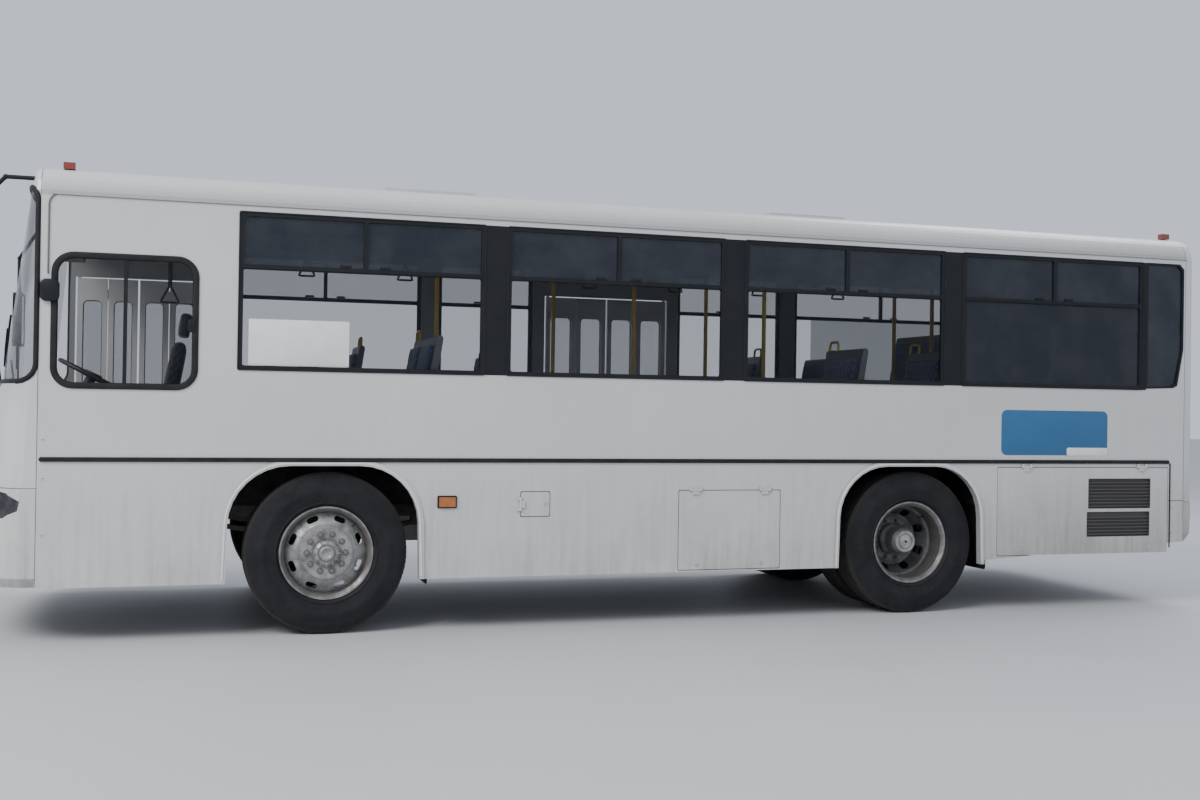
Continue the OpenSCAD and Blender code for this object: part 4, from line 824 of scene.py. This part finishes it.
def fit_nuts():
    """Ten nuts round each disc, at its distance from the bus's middle and on its bolt circle."""
    for side, sign in SIDES:
        for (end, x), (y, circle) in zip(AXLES, ((1.178, 0.122), (0.9212, 0.1425))):
            nuts = around(shifted(nut_with_stud(), circle), 10)
            settle(nuts, f"{end}_{side}_wheel_nuts", NUT_STEEL, f"{end}_{side}_{WHEEL_WORD[end]}",
                   (x, sign * y, HUB_Z), side, smooth=30)


def fit_hubs():
    """Ribs and cap of the front hubs, bolts of the rear ones, and a valve in each wheel."""
    aslant = 0.7071
    for side, sign in SIDES:
        rib = shifted(raised(block("plane", 0.030, 0.007, 1), 0.020), 0.074, 0, -0.006)
        ribs = around(rib, 12)
        cap = stepped_top(cylinder(40, 0.046, 0.008, z=0.018), (0.006, 0.004), (0.012, 0.002), (0.003, -0.003))
        settle(joined([ribs, eased(cap, 0.0012)]), f"front_{side}_hub_cap", WHEEL_SILVER,
               f"front_{side}_wheel", (FRONT_AXLE_X, sign * 1.200, HUB_Z), side)
        bolts = around(cylinder(6, 0.0085, 0.010, 0.060, 0.004), 8)
        settle(bolts, f"rear_{side}_hub_bolts", NUT_STEEL, f"rear_{side}_wheels",
               (REAR_AXLE_X, sign * 1.1275, HUB_Z), side, smooth=30)
        for (end, x), (y, inner, outer) in zip(AXLES, ((1.150, 0.232, 0.252), (1.040, 0.232, 0.256))):
            start = Vector((x - inner * aslant, sign * (y - 0.02), HUB_Z + inner * aslant))
            tip = Vector((x - outer * aslant, sign * (y + 0.035), HUB_Z + outer * aslant))
            tube(f"{end}_{side}_valve", [start, start.lerp(tip, 0.5), tip], 0.0045, RUBBER,
                 f"{end}_{side}_{WHEEL_WORD[end]}")


# Windows

# Windows of the band, from the front: side, rear edge, front edge
BAND_WINDOWS = (
    ("left", 1.292, 2.870), ("left", -0.420, 1.147), ("left", -2.179, -0.565), ("left", -3.945, -2.324),
    ("right", 1.292, 2.870), ("right", 0.330, 1.147), ("right", -2.002, -1.000), ("right", -3.945, -2.147),
)


def fit_driver_window():
    """Thick rubber round the driver's window, its latch, and the small box at its upper front corner."""
    width, height = DRIVER_FRONT_X - DRIVER_REAR_X, DRIVER_HIGH_Z - DRIVER_LOW_Z
    middle = on_wall(1, (DRIVER_REAR_X + DRIVER_FRONT_X) / 2, (DRIVER_LOW_Z + DRIVER_HIGH_Z) / 2, -0.002)
    ring("driver_window_rubber", (width + 0.016, height + 0.016), 0.036, 0.011, 0.128, middle, "left",
         RUBBER, edge=0.004)
    plate("driver_window_latch", (0.044, 0.078), 0.014, 0.010, on_wall(1, DRIVER_REAR_X + 0.034, 1.942, -0.002), "left",
          BLACK_TRIM, edge=0.003)
    plate("driver_window_bracket", (0.110, 0.135), 0.030, 0.036, on_wall(1, DRIVER_FRONT_X + 0.014, 2.130, 0), "left",
          BLACK_TRIM, edge=0.009)


def glass_edge(node, outward, radius):
    """A rubber bead laid round the outer edge of a curved glass, whose outer side faces away from a point."""
    bead = NODES[node].copy()
    bead.data = NODES[node].data.copy()
    bpy.context.scene.collection.objects.link(bead)
    bead.parent = None
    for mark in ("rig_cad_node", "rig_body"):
        if mark in bead:
            del bead[mark]
    bead.hide_render = False
    open_mesh(bead, "VERT")
    pick()
    bpy.ops.mesh.remove_doubles(threshold=0.0004)
    bpy.ops.mesh.select_mode(type="FACE")
    pick_faces(bead, lambda middle, normal: normal.dot((middle - outward).normalized()) > 0.25)
    pick("INVERT")
    bpy.ops.mesh.delete(type="FACE")
    bpy.ops.mesh.select_mode(type="EDGE")
    pick("DESELECT")
    bpy.ops.mesh.select_non_manifold()
    pick("INVERT")
    bpy.ops.mesh.delete(type="EDGE_FACE")
    pick()
    bpy.ops.mesh.delete(type="ONLY_FACE")
    close_mesh()
    active(bead)
    bpy.ops.object.convert(target="CURVE")
    bead = bpy.context.object
    bead.data.bevel_depth = radius
    bead.data.bevel_resolution = 2
    bpy.ops.object.convert(target="MESH")
    settle(bpy.context.object, f"{node}_rubber", RUBBER, smooth=60)


def fit_rain_channel():
    """Channel that leads rain from the gutter down in front of the driver's window."""
    x, y, top, turn = NOSE_X - 0.044, WALL_Y + 0.003, EAVE_Z + 0.014, 0.07
    points = [Vector((x, y, DRIVER_HIGH_Z - 0.13)), Vector((x, y, top - turn))]
    points += bend((x - turn, y, top - turn), turn, 0, 90) + [Vector((NOSE_X - 1.020, y, top))]
    for side, sign in SIDES:
        tube(f"rain_channel_{side}", [Vector((p.x, sign * p.y, p.z)) for p in points], 0.0055, CHANNEL_GREY)


def fit_window_seals():
    """A lip round each window of the band, the sliders' rail and pulls, and the strip before the quarter glass."""
    for number, (side, rear, front) in enumerate(BAND_WINDOWS, 1):
        sign = dict(SIDES)[side]
        middle, width = (front + rear) / 2, front - rear
        ring(f"window_gasket_{number}", (width, BAND_HEIGHT), 0.009, 0.005, 0.012,
             on_wall(sign, middle, BAND_MIDDLE, 0.002), side, RUBBER, steps=4)
        plate(f"window_slider_rail_{number}", (width - 0.05, 0.012), 0.007, 0.002,
              on_wall(sign, middle, DIVIDER_Z - 0.004, 0.001), side, BLACK_TRIM)
        for end, along in (("rear", -0.08), ("front", 0.08)):
            plate(f"window_slider_pull_{number}_{end}", (0.070, 0.016), 0.009, 0.004,
                  on_wall(sign, middle + width * along, DIVIDER_Z + 0.026, -0.009), side, BLACK_TRIM,
                  edge=0.002)
    for side, sign in SIDES:
        plate(f"quarter_window_strip_{side}", (0.038, BAND_HEIGHT - 0.004), 0.003, 0.002,
              on_wall(sign, QUARTER_X, BAND_MIDDLE), side, BLACK_TRIM, edge=0.0008)


# Body sides


def lock(name, radius, place, facing, body="bus_body"):
    """A round flap lock or screw head with its slot."""
    head = stepped_top(cylinder(24, radius, 0.006, z=0.002), (radius * 0.25, 0.001), (radius * 0.2, -0.002))
    bar = shifted(raised(block("plane", radius * 0.9, radius * 0.22, 1), 0.003), 0, 0, 0.003)
    settle(joined([head, bar]), name, STEEL, body, place, facing, 0.0006)


def fit_side_trim():
    """Blank card, blue panel with its white corner, locks, screws, and the dark line behind the engine door."""
    plate("blank_card", (0.624, 0.292), 0.0015, 0.006, (2.490, 1.2352, 1.854), "left", BLANK_WHITE, edge=0.0004)
    plate("blue_side_panel", (0.950, 0.340), 0.0022, 0.045, on_wall(1, -3.151, 1.335), "left", PANEL_BLUE, edge=0.0006)
    plate("blue_panel_corner", (0.372, 0.060), 0.0030, 0.014, on_wall(1, -3.443, 1.193), "left", BLANK_WHITE,
          edge=0.0006, slot="paint")
    lock("fuel_flap_lock", 0.013, on_wall(1, 0.860, 0.824, 0), "left", "fuel_flap")
    # Locks of the two larger doors: radius, height, places along the bus
    for flap, radius, z, places in (("service_flap", 0.014, 0.395, (-0.720, -0.235)),
                                    ("engine_door", 0.016, 0.450, (-4.02, -2.83))):
        for number, x in enumerate(places, 1):
            lock(f"{flap}_lock_{number}", radius, on_wall(1, x, z, 0), "left", flap)
    for number, z in enumerate((1.235, 1.000, 0.660), 1):
        for side, sign in SIDES:
            lock(f"seam_screw_{side}_{number}", 0.008, on_wall(sign, NOSE_X - 0.030, z, 0), side)
    for side, sign in SIDES:
        plate(f"tail_edge_strip_{side}", (0.010, 0.660), 0.006, 0.003, on_wall(sign, TAIL_X + 0.128, 0.775), side,
              RUBBER)
        for end, x in (("front", NOSE_X - 0.022), ("rear", TAIL_X + 0.147)):
            tip = add("uv_sphere", segments=20, ring_count=10, radius=0.014)
            tip.data.transform(Matrix.Scale(0.75, 4, (0, 0, 1)))
            open_mesh(tip)
            cut((0, 0, -0.001), (0, 0, 1), use_fill=True, clear_inner=True)
            close_mesh()
            settle(tip, f"rub_strip_tip_{end}_{side}", RUBBER, place=on_wall(sign, x, 1.115, 0), facing=side)


def fit_arch_beads():
    """Rolled bead along each wheel arch's lip, cleaner than the body and painted brighter as a highlight."""
    radius, corner, low, foot, slope = 0.393, 0.395, 0.698, 0.365, 0.012
    for side, sign in SIDES:
        for (end, axle), (behind, ahead) in zip(AXLES, ((0.595, 0.634), (0.567, 0.625))):
            y = sign * (WALL_Y + 0.005)
            rear, front = axle - behind + corner, axle + ahead - corner
            points = [Vector((rear - radius - slope, y, foot))]
            points += bend((rear, y, low), radius, 178, 90, 12) + bend((front, y, low), radius, 90, 2, 12)
            points += [Vector((front + radius + slope, y, foot))]
            tube(f"arch_bead_{end}_{side}", points, 0.009, ARCH_HIGHLIGHT_WHITE)


def fit_corner_seams():
    """Seams of the lower rear corners, behind the engine door, with their screws."""
    for side, sign in SIDES:
        plate(f"corner_seam_{side}", (0.150, 0.004), 0.0012, 0.001, on_wall(sign, TAIL_X + 0.072, 0.812), side,
              RUBBER, edge=0.0004)
        for number, z in enumerate((0.760, 0.560), 1):
            lock(f"corner_screw_{side}_{number}", 0.008, on_wall(sign, TAIL_X + 0.110, z, 0), side)


def fit_marker_rims():
    """Rims round the side markers."""
    for side, sign in SIDES:
        ring(f"side_marker_rim_{side}", (0.128, 0.082), 0.008, 0.010, 0.008, on_wall(sign, FRONT_AXLE_X - 0.766, 0.843),
             side, BLACK_TRIM, edge=0.002)


def fit_mud_flaps():
    """Rubber flaps hung behind the wheels, with their clamp bars."""
    for side, sign in SIDES:
        for (end, axle), (y, width) in zip(AXLES, ((1.040, 0.300), (0.900, 0.560))):
            x = axle - 0.652
            plate(f"mud_flap_{end}_{side}", (width, 0.520), 0.006, 0.020, (x, sign * y, 0.560), "front",
                  RUBBER, edge=0.002)
            plate(f"mud_flap_clamp_{end}_{side}", (width, 0.030), 0.005, 0.004, (x + 0.006, sign * y, 0.795), "front",
                  STEEL, slot="chassis")


# Front and rear


def fit_grille():
    """A thin dark panel that follows the curve of the bumper between the lamps, and its bars."""
    width, height, z, lift = 1.10, 0.150, 0.800, 0.003
    obj = rounded_outline(width, height, 0.030)
    open_mesh(obj)
    for i in range(1, 16):
        cut((width * (i / 16 - 0.5), 0, 0), (1, 0, 0))
    for part in (-0.25, 0.0, 0.25):
        cut((0, height * part, 0), (0, 1, 0))
    close_mesh()
    for point in obj.data.vertices:
        point.co = over_front(point.co.x, point.co.y + z, lift)
    modified(obj, "SOLIDIFY", thickness=lift + 0.001, offset=-1.0)
    settle(obj, "grille_panel", BLACK_TRIM, edge=0.0006)
    for number, z in enumerate((0.745, 0.772, 0.800, 0.828, 0.855), 1):
        tube(f"grille_bar_{number}", [over_front(-0.52 + 0.065 * i, z, 0.006) for i in range(17)], 0.005,
             DARK_PLASTIC, slot="black_trim")


def fit_front():
    """Blank number plate, fog lamps and wiper blades."""
    place = over_front(0.0, 0.640, 0.001)
    plate("front_plate_holder", (0.540, 0.130), 0.006, 0.010, place, "front", BLACK_TRIM)
    plate("front_plate_blank", (0.520, 0.110), 0.003, 0.008, place + Vector((0.006, 0, 0)), "front", BLANK_WHITE)
    for side, sign in SIDES:
        seat = over_front(sign * 0.720, 0.470, -0.002)
        ring(f"fog_lamp_rim_{side}", (0.150, 0.090), 0.012, 0.012, 0.036, seat, "front", BLACK_TRIM, edge=0.002)
        plate(f"fog_lamp_{side}", (0.130, 0.070), 0.007, 0.030, seat, "front", LAMP_GLASS, edge=0.002)
    blade_y, blade_z, lift = 0.380, 1.740, 0.010
    for number, pivot in enumerate((-0.560, 0.160), 1):
        points = []
        for i in range(11):
            along = -0.22 + 0.064 * i
            points.append(over_front(pivot + blade_y + along * 0.80, blade_z + along * 0.60, lift, "windscreen"))
        tube(f"wiper_blade_{number}", points, 0.007, RUBBER)
        tube(f"wiper_spine_{number}", [p + Vector((0.011, 0, 0)) for p in points[2:9]], 0.004, BLACK_TRIM)


def fit_rear():
    """Blank number plate, lid handle and slats, reflectors, lamp bars and a brake lamp over the rear window."""
    place = over_rear(0.0, 0.675, 0.001)
    plate("rear_plate_holder", (0.540, 0.110), 0.005, 0.008, place, "back", BLACK_TRIM)
    plate("rear_plate_blank", (0.520, 0.096), 0.003, 0.006, place + Vector((-0.005, 0, 0)), "back", BLANK_WHITE)
    lid_x = over_rear(0.0, 0.95, 0.0, "rear_lid").x
    plate("rear_lid_handle", (0.160, 0.036), 0.016, 0.014, (lid_x, 0.0, 0.900), "back", BLACK_TRIM, "rear_lid", 0.004)
    for number, z in enumerate((1.02, 1.06, 1.10, 1.14, 1.18, 1.22), 1):
        plate(f"rear_lid_slat_{number}", (0.760, 0.014), 0.008, 0.006, (lid_x, 0.0, z), "back", DARK_PLASTIC,
              "rear_lid", 0.003, slot="black_trim")
    for side, sign in SIDES:
        plate(f"rear_reflector_{side}", (0.120, 0.040), 0.006, 0.010, over_rear(sign * 0.860, 0.735, -0.001), "back",
              RED_REFLECTOR, edge=0.002)
        for number, z in enumerate((1.200, 1.308, 1.392), 1):
            plate(f"tail_lamp_bar_{side}_{number}", (0.116, 0.006), 0.003, 0.0015,
                  over_rear(sign * 1.060, z, -0.0005, "tail_lamps"), "back", BLACK_TRIM, edge=0.0008)
    plate("high_brake_lamp", (0.300, 0.034), 0.012, 0.010, over_rear(0.0, 2.600, -0.002, "rear_panel"), "back",
          RED_REFLECTOR, edge=0.003)


def fit_mirrors():
    """Glass and rim of each outer mirror, and the clamp that holds it on its arm."""
    for side, sign in SIDES:
        y = sign * MIRROR_Y
        plate(f"mirror_glass_{side}", (0.205, 0.375), 0.003, 0.030, (MIRROR_X - 0.0005, y, MIRROR_Z), "back",
              MIRROR_GLASS, edge=0.001)
        ring(f"mirror_rim_{side}", (0.226, 0.396), 0.013, 0.006, 0.036, (MIRROR_X, y, MIRROR_Z), "back",
             BLACK_TRIM, edge=0.002)
        ring(f"mirror_clamp_{side}", (0.050, 0.050), 0.012, 0.030, 0.020, (MIRROR_X + 0.012, y, MIRROR_Z + 0.225),
             "front", BLACK_TRIM, edge=0.003)


# Doors

# Each door: rear and front jamb, then where the pane of its outer leaf and of its inner leaf starts and ends
DOORS = (
    ("front", 3.060, 3.990, (0.054, 0.195), (0.280, 0.418)),
    ("mid", -0.895, 0.225, (0.054, 0.2425), (0.3275, 0.513)),
)


def fit_doors():
    """Rubber round each leaf's pane, its kick panel, rubber where leaves meet, and a pull bar inside."""
    for door, rear, front, (a_start, a_end), (b_start, b_end) in DOORS:
        spans = ((rear + a_start, rear + a_end), (rear + b_start, rear + b_end),
                 (front - b_end, front - b_start), (front - a_end, front - a_start))
        for leaf, (low, high) in enumerate(spans, 1):
            body = f"{door}_leaf_{leaf}"
            middle, width = (low + high) / 2, high - low
            ring(f"{body}_pane_rubber", (width + 0.020, 1.510), 0.016, 0.004, 0.046, (middle, LEAF_Y + 0.0003, 1.505),
                 "right", RUBBER, body, 0.0012)
            plate(f"{body}_kick_panel", (width + 0.010, 0.270), 0.002, 0.012, (middle, LEAF_Y, 0.565), "right",
                  LEAF_SKIN, body, 0.0008)
        for leaf, sign in ((2, -1), (3, 1)):
            body = f"{door}_leaf_{leaf}"
            x = (rear + front) / 2 + sign * 0.016
            plate(f"{body}_meeting_rubber", (0.016, 2.030), 0.004, 0.003, (x, LEAF_Y, 1.400), "right",
                  RUBBER, body, 0.001)
        for leaf, sign in ((2, -1), (3, 1)):
            body = f"{door}_leaf_{leaf}"
            x = (rear + front) / 2 + sign * 0.060
            bar = [(-1.201, 1.00), (-1.176, 1.02), (-1.172, 1.05), (-1.172, 1.45), (-1.176, 1.48), (-1.201, 1.50)]
            tube(f"{body}_pull_bar", [Vector((x, y, z)) for y, z in bar], 0.009, YELLOW_RAIL, body)


# Cabin

LOW_SEAT, HIGH_SEAT = 1.360, 1.590
# Seat rows: back's place along the bus, right edge, left edge, cushion height
SEAT_ROWS = (
    (1.640, 0.300, 1.180, LOW_SEAT), (2.420, 0.620, 1.180, LOW_SEAT), (0.840, -1.180, -0.740, LOW_SEAT),
    (1.900, -1.180, -0.740, LOW_SEAT), (2.560, -1.180, -0.740, LOW_SEAT), (-2.200, 0.620, 1.180, LOW_SEAT),
    (-1.500, 0.620, 1.180, LOW_SEAT), (-2.200, -1.180, -0.620, LOW_SEAT), (-1.500, -1.180, -0.620, LOW_SEAT),
    (-3.150, 0.300, 1.180, HIGH_SEAT), (-3.150, -1.180, -0.300, HIGH_SEAT), (-4.200, -1.180, -0.600, HIGH_SEAT),
    (-4.200, -0.590, -0.010, HIGH_SEAT), (-4.200, 0.010, 0.590, HIGH_SEAT), (-4.200, 0.600, 1.180, HIGH_SEAT),
)
# The rows before the rear bench have a grab handle
ROWS_WITH_HANDLE = 11


def swollen_pad(depth, width, thick, voxel, channels, reach=0.006):
    """A stuffed pad about the origin, swollen by cloth simulation, with sewn channels across it."""
    obj = block("cube", depth, width, thick)
    eased(obj, thick * 0.38, 3)
    modified(obj, "REMESH", mode="VOXEL", voxel_size=voxel)
    before = [point.co.copy() for point in obj.data.vertices]
    active(obj)
    cloth = obj.modifiers.new("swell", "CLOTH")
    cloth.settings.use_pressure = True
    cloth.settings.uniform_pressure_force = 4.0
    cloth.settings.effector_weights.gravity = 0.0
    cloth.settings.quality = 5
    for frame_number in range(1, 21):
        bpy.context.scene.frame_set(frame_number)
    bpy.ops.object.modifier_apply(modifier=cloth.name)
    bpy.context.scene.frame_set(1)
    for point, start in zip(obj.data.vertices, before):
        step = point.co - start
        if step.length > reach:
            point.co = start + step * (reach / step.length)
    swell, channel_width = 0.006, 0.009
    for point in obj.data.vertices:
        x, y, z = point.co
        crown = max(0.0, 1 - (2 * x / depth) ** 2) * max(0.0, 1 - (2 * y / width) ** 2)
        dip = sum(math.exp(-(((x - at) / channel_width) ** 2)) for at in channels)
        if z > 0:
            point.co.z += swell * crown - swell * dip * min(1.0, 1.2 - abs(2 * y / width))
    return obj


def place_pad(master, name, change, finish):
    pad = settle(twin(master, change), name, finish, smooth=60)
    return pad


def fit_seat_pads():
    """Two stuffed pads to each passenger's place: a cushion and a back that leans."""
    pad_width, voxel = 0.400, 0.010
    cushion = swollen_pad(0.310, pad_width, 0.026, voxel, (-0.060, 0.050))
    back = swollen_pad(0.490, pad_width, 0.022, voxel, (-0.130, 0.0, 0.130))
    count = 0
    for x, low, high, z in SEAT_ROWS:
        places = 2 if high - low > 0.7 else 1
        width = (high - low) / places
        stretch = Matrix.Scale((width - 0.056) / (pad_width + 0.012), 4, (0, 1, 0))
        for i in range(places):
            count += 1
            middle = low + (i + 0.5) * width
            flat = moved((x + 0.253, middle, z - 0.017)) @ turned(-1.2, "Y")
            seat = place_pad(cushion, f"seat_cushion_{count:02d}", flat @ stretch, SEAT_CLOTH)
            lean = moved((x + 0.0285, middle, z + 0.279)) @ turned(79.6, "Y") @ Matrix.Scale(-1, 4, (1, 0, 0))
            place_pad(back, f"seat_back_pad_{count:02d}", lean @ stretch, SEAT_CLOTH)
            if count == 1:
                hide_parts("seat_pads")
    for master in (cushion, back):
        bpy.data.objects.remove(master)


def fit_driver_seat():
    """The driver's sprung seat: bellows, pan, cushion, back and headrest."""
    x, y = 3.230, DRIVER_Y
    master = swollen_pad(0.440, 0.440, 0.075, 0.013, (-0.120, 0.110), 0.010)
    # Each pad: name, place, lean, size by the master's
    pads = (
        ("driver_seat_cushion", (x + 0.270, y, 1.295), 0, (1, 1, 1)),
        ("driver_seat_back", (x + 0.020, y, 1.610), 80, (-1.18, 1, 1)),
        ("driver_headrest", (x - 0.050, y, 1.970), 82, (-0.36, 0.62, 0.75)),
    )
    for name, place, lean, size in pads:
        change = moved(place) @ turned(lean, "Y") @ Matrix.Diagonal((*size, 1))
        pad = place_pad(master, name, change, DRIVER_CLOTH)
        if name == "driver_seat_cushion":
            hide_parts("driver_seat")
    bpy.data.objects.remove(master)
    folds = []
    for i in range(7):
        narrower = 0.024 * (i % 2)
        fold = raised(rounded_outline(0.300 - narrower, 0.320 - narrower, 0.030), 0.040)
        folds.append(shifted(fold, 0, 0, 0.0405 * i))
    settle(joined(folds), "driver_seat_bellows", RUBBER, place=(x + 0.270, y, FLOOR_Z), edge=0.008, slot="dark_plastic")
    plate("driver_seat_pan", (0.440, 0.430), 0.045, 0.050, (x + 0.265, y, FLOOR_Z + 0.285), "up",
          DARK_PLASTIC, edge=0.010)


def fit_seat_handles():
    """A bent grab handle over the aisle corner of each seat before the rear bench."""
    for number, (x, low, high, z) in enumerate(SEAT_ROWS[:ROWS_WITH_HANDLE], 1):
        aisle, inward = (low, 1) if low > 0 else (high, -1)
        outer, inner = aisle + inward * 0.015, aisle + inward * 0.150
        top, base = z + 0.640, z + 0.545
        # Half of the handle, from its foot up: how far behind the seat back, in from its end, and its height
        half = ((0.052, 0.0, base), (0.056, 0.0, top - 0.03), (0.057, 0.010, top - 0.008), (0.058, 0.030, top))
        points = [Vector((x - behind, outer + inward * inset, height)) for behind, inset, height in half]
        points += [Vector((x - behind, inner - inward * inset, height)) for behind, inset, height in reversed(half)]
        tube(f"seat_handle_{number:02d}", points, 0.010, YELLOW_RAIL)


def hanging_handle(name, x, y, z, drop):
    """A triangle with rounded corners on its strap, hung so far below a rail."""
    low = z - 0.080 - drop
    corners = [Vector((x, y, z + 0.040 - drop)), Vector((x + 0.062, y, low)), Vector((x - 0.062, y, low))]
    points = []
    for k in range(3):
        here, before, after = corners[k], corners[k - 1], corners[(k + 1) % 3]
        points += [here.lerp(before, 0.14), here.lerp(before, 0.05).lerp(here.lerp(after, 0.05), 0.5),
                   here.lerp(after, 0.14)]
    grip = tube(f"hanging_handle_{name}", points, 0.008, DARK_PLASTIC, closed=True)
    strap = plate(f"hanging_strap_{name}", (0.028, drop), 0.004, 0.008, (x, y - 0.002, z + 0.032 - drop / 2), "left",
                  DARK_PLASTIC, edge=0.001)
    return [grip, strap]


def fit_hanging_handles():
    """The rail round the driver's bay, and triangular handles on it and on the two overhead rails."""
    y, z, end_x, turn = 0.330, 2.430, 3.360, 0.070
    bay = [Vector((2.960, y, z)), Vector((end_x, y, z))]
    bay += bend((end_x, y, z + turn), turn, -90, 0) + [Vector((end_x + turn, y, 2.905))]
    tube("driver_bay_rail", bay, 0.015, YELLOW_RAIL)
    rails = [("bay", 0.190, [(3.282, y, 2.416)])]
    rails += [(side, 0.080, [(-2.20 + 0.75 * i, sign * 0.480, 2.604) for i in range(7)]) for side, sign in SIDES]
    for side, drop, places in rails:
        parts = []
        for i, place in enumerate(places):
            parts += hanging_handle(f"{side}_{i}", *place, drop)
        joined(parts).name = f"hanging_handles_{side}"


def fit_cab():
    """Dials' hood and rim, roller blind, the stalks under the steering wheel, and the ceiling lamps."""
    plate("dial_hood", (0.300, 0.420), 0.085, 0.060, (NOSE_X - 0.120, DRIVER_Y, 1.445), "up", DARK_PLASTIC, edge=0.030)
    ring("dial_rim", (0.300, 0.110), 0.010, 0.004, 0.050, (NOSE_X - 0.271, DRIVER_Y, 1.485), "back",
         BLACK_TRIM, edge=0.001, slot="dark_plastic")
    plate("roller_blind", (0.720, 0.300), 0.004, 0.010, (NOSE_X + 0.010, 0.680, 2.560), "front",
          DARK_PLASTIC, edge=0.001)
    centre = Vector((NOSE_X - 0.300, DRIVER_Y, 1.595))
    for side, sign in SIDES:
        points = [centre, centre + Vector((0.01, sign * 0.09, 0.006)), centre + Vector((0.0, sign * 0.165, 0.02))]
        tube(f"column_stalk_{side}", points, 0.006, DARK_PLASTIC)
    for side, sign in SIDES:
        plate(f"ceiling_lamp_{side}", (5.200, 0.110), 0.022, 0.020, (-0.350, sign * 0.250, 2.9205), "down",
              LAMP_DIFFUSER, edge=0.006)


def fit_hatch_ribs():
    """Ribs on the lids of the roof hatches."""
    for name, x in (("front", 1.500), ("rear", -1.500)):
        hatch = f"roof_hatch_{name}"
        ribs = joined([shifted(raised(rounded_outline(0.480, 0.026, 0.012), 0.006), 0, y)
                       for y in (-0.20, -0.10, 0.0, 0.10, 0.20)])
        settle(ribs, f"hatch_ribs_{name}", HATCH, hatch, (x, 0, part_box(hatch)[1].z - 0.0005), edge=0.002)


bpy.context.view_layer.update()
fit_tyres()
fit_nuts()
fit_hubs()
fit_driver_window()
glass_edge("windscreen", Vector((2.6, 0.0, 2.1)), 0.017)
glass_edge("rear_window", Vector((-2.6, 0.0, 2.1)), 0.013)
fit_rain_channel()
fit_window_seals()
fit_side_trim()
fit_arch_beads()
fit_corner_seams()
fit_marker_rims()
fit_mud_flaps()
fit_grille()
fit_front()
fit_rear()
fit_mirrors()
fit_doors()
fit_seat_pads()
fit_driver_seat()
fit_seat_handles()
fit_hanging_handles()
fit_cab()
fit_hatch_ribs()


# Setting: floor, light and camera


def studio_floor():
    floor = add("plane", size=120.0, location=(0, 0, CAD_BOUNDS[0][2]))
    floor.name = "studio_floor"
    look = Shade("studio_floor")
    look.finish(Base_Color=look.mix(look.patches(0.3, 0.7, 0.4, 4.0), (0.52, 0.52, 0.53), (0.56, 0.56, 0.565)),
                Roughness=0.6)
    floor.data.materials.append(look.material)


def soft_light(name, place, aim, size, power, colour):
    """A large lamp that shines from a place towards a point."""
    deselect()
    bpy.ops.object.light_add(type="AREA", location=place)
    light = bpy.context.object
    light.name = name
    light.data.shape = "RECTANGLE"
    light.data.size, light.data.size_y = size
    light.data.energy = power
    light.data.color = colour
    light.rotation_euler = (Vector(aim) - Vector(place)).to_track_quat("-Z", "Y").to_euler()


def photo_camera():
    """The camera of the fitted view: right, up and forward directions, rolled about the line of sight."""
    right = Vector((-math.cos(CAMERA_YAW), math.sin(CAMERA_YAW), 0))
    level = Vector((-math.sin(CAMERA_YAW), -math.cos(CAMERA_YAW), 0))
    up = Vector((0, 0, 1))
    ahead = level * math.cos(CAMERA_PITCH) + up * math.sin(CAMERA_PITCH)
    above = up * math.cos(CAMERA_PITCH) - level * math.sin(CAMERA_PITCH)
    side = right * math.cos(CAMERA_ROLL) + above * math.sin(CAMERA_ROLL)
    above = above * math.cos(CAMERA_ROLL) - right * math.sin(CAMERA_ROLL)
    deselect()
    bpy.ops.object.camera_add()
    camera = bpy.context.object
    camera.matrix_world = moved(CAMERA_PLACE) @ Matrix((side, above, -ahead)).transposed().to_4x4()
    camera.data.sensor_width = SENSOR
    camera.data.lens = FOCAL_PIXELS / PHOTO_WIDTH * SENSOR
    camera.data.clip_end = 200.0
    bpy.context.scene.camera = camera


def sky():
    world = bpy.data.worlds.new("soft_sky")
    world.use_nodes = True
    background = world.node_tree.nodes["Background"]
    background.inputs["Color"].default_value = (0.80, 0.87, 0.98, 1)
    background.inputs["Strength"].default_value = 0.88
    bpy.context.scene.world = world


studio_floor()
sky()
soft_light("key_light", (13, 9, 13), (2.5, 0, 1.6), (10, 8), 3000, (1, 0.985, 0.97))
soft_light("fill_light", (-10, -4, 12), (-1, 0, 1.6), (9, 6), 700, (0.93, 0.96, 1))
photo_camera()

bpy.context.view_layer.update()
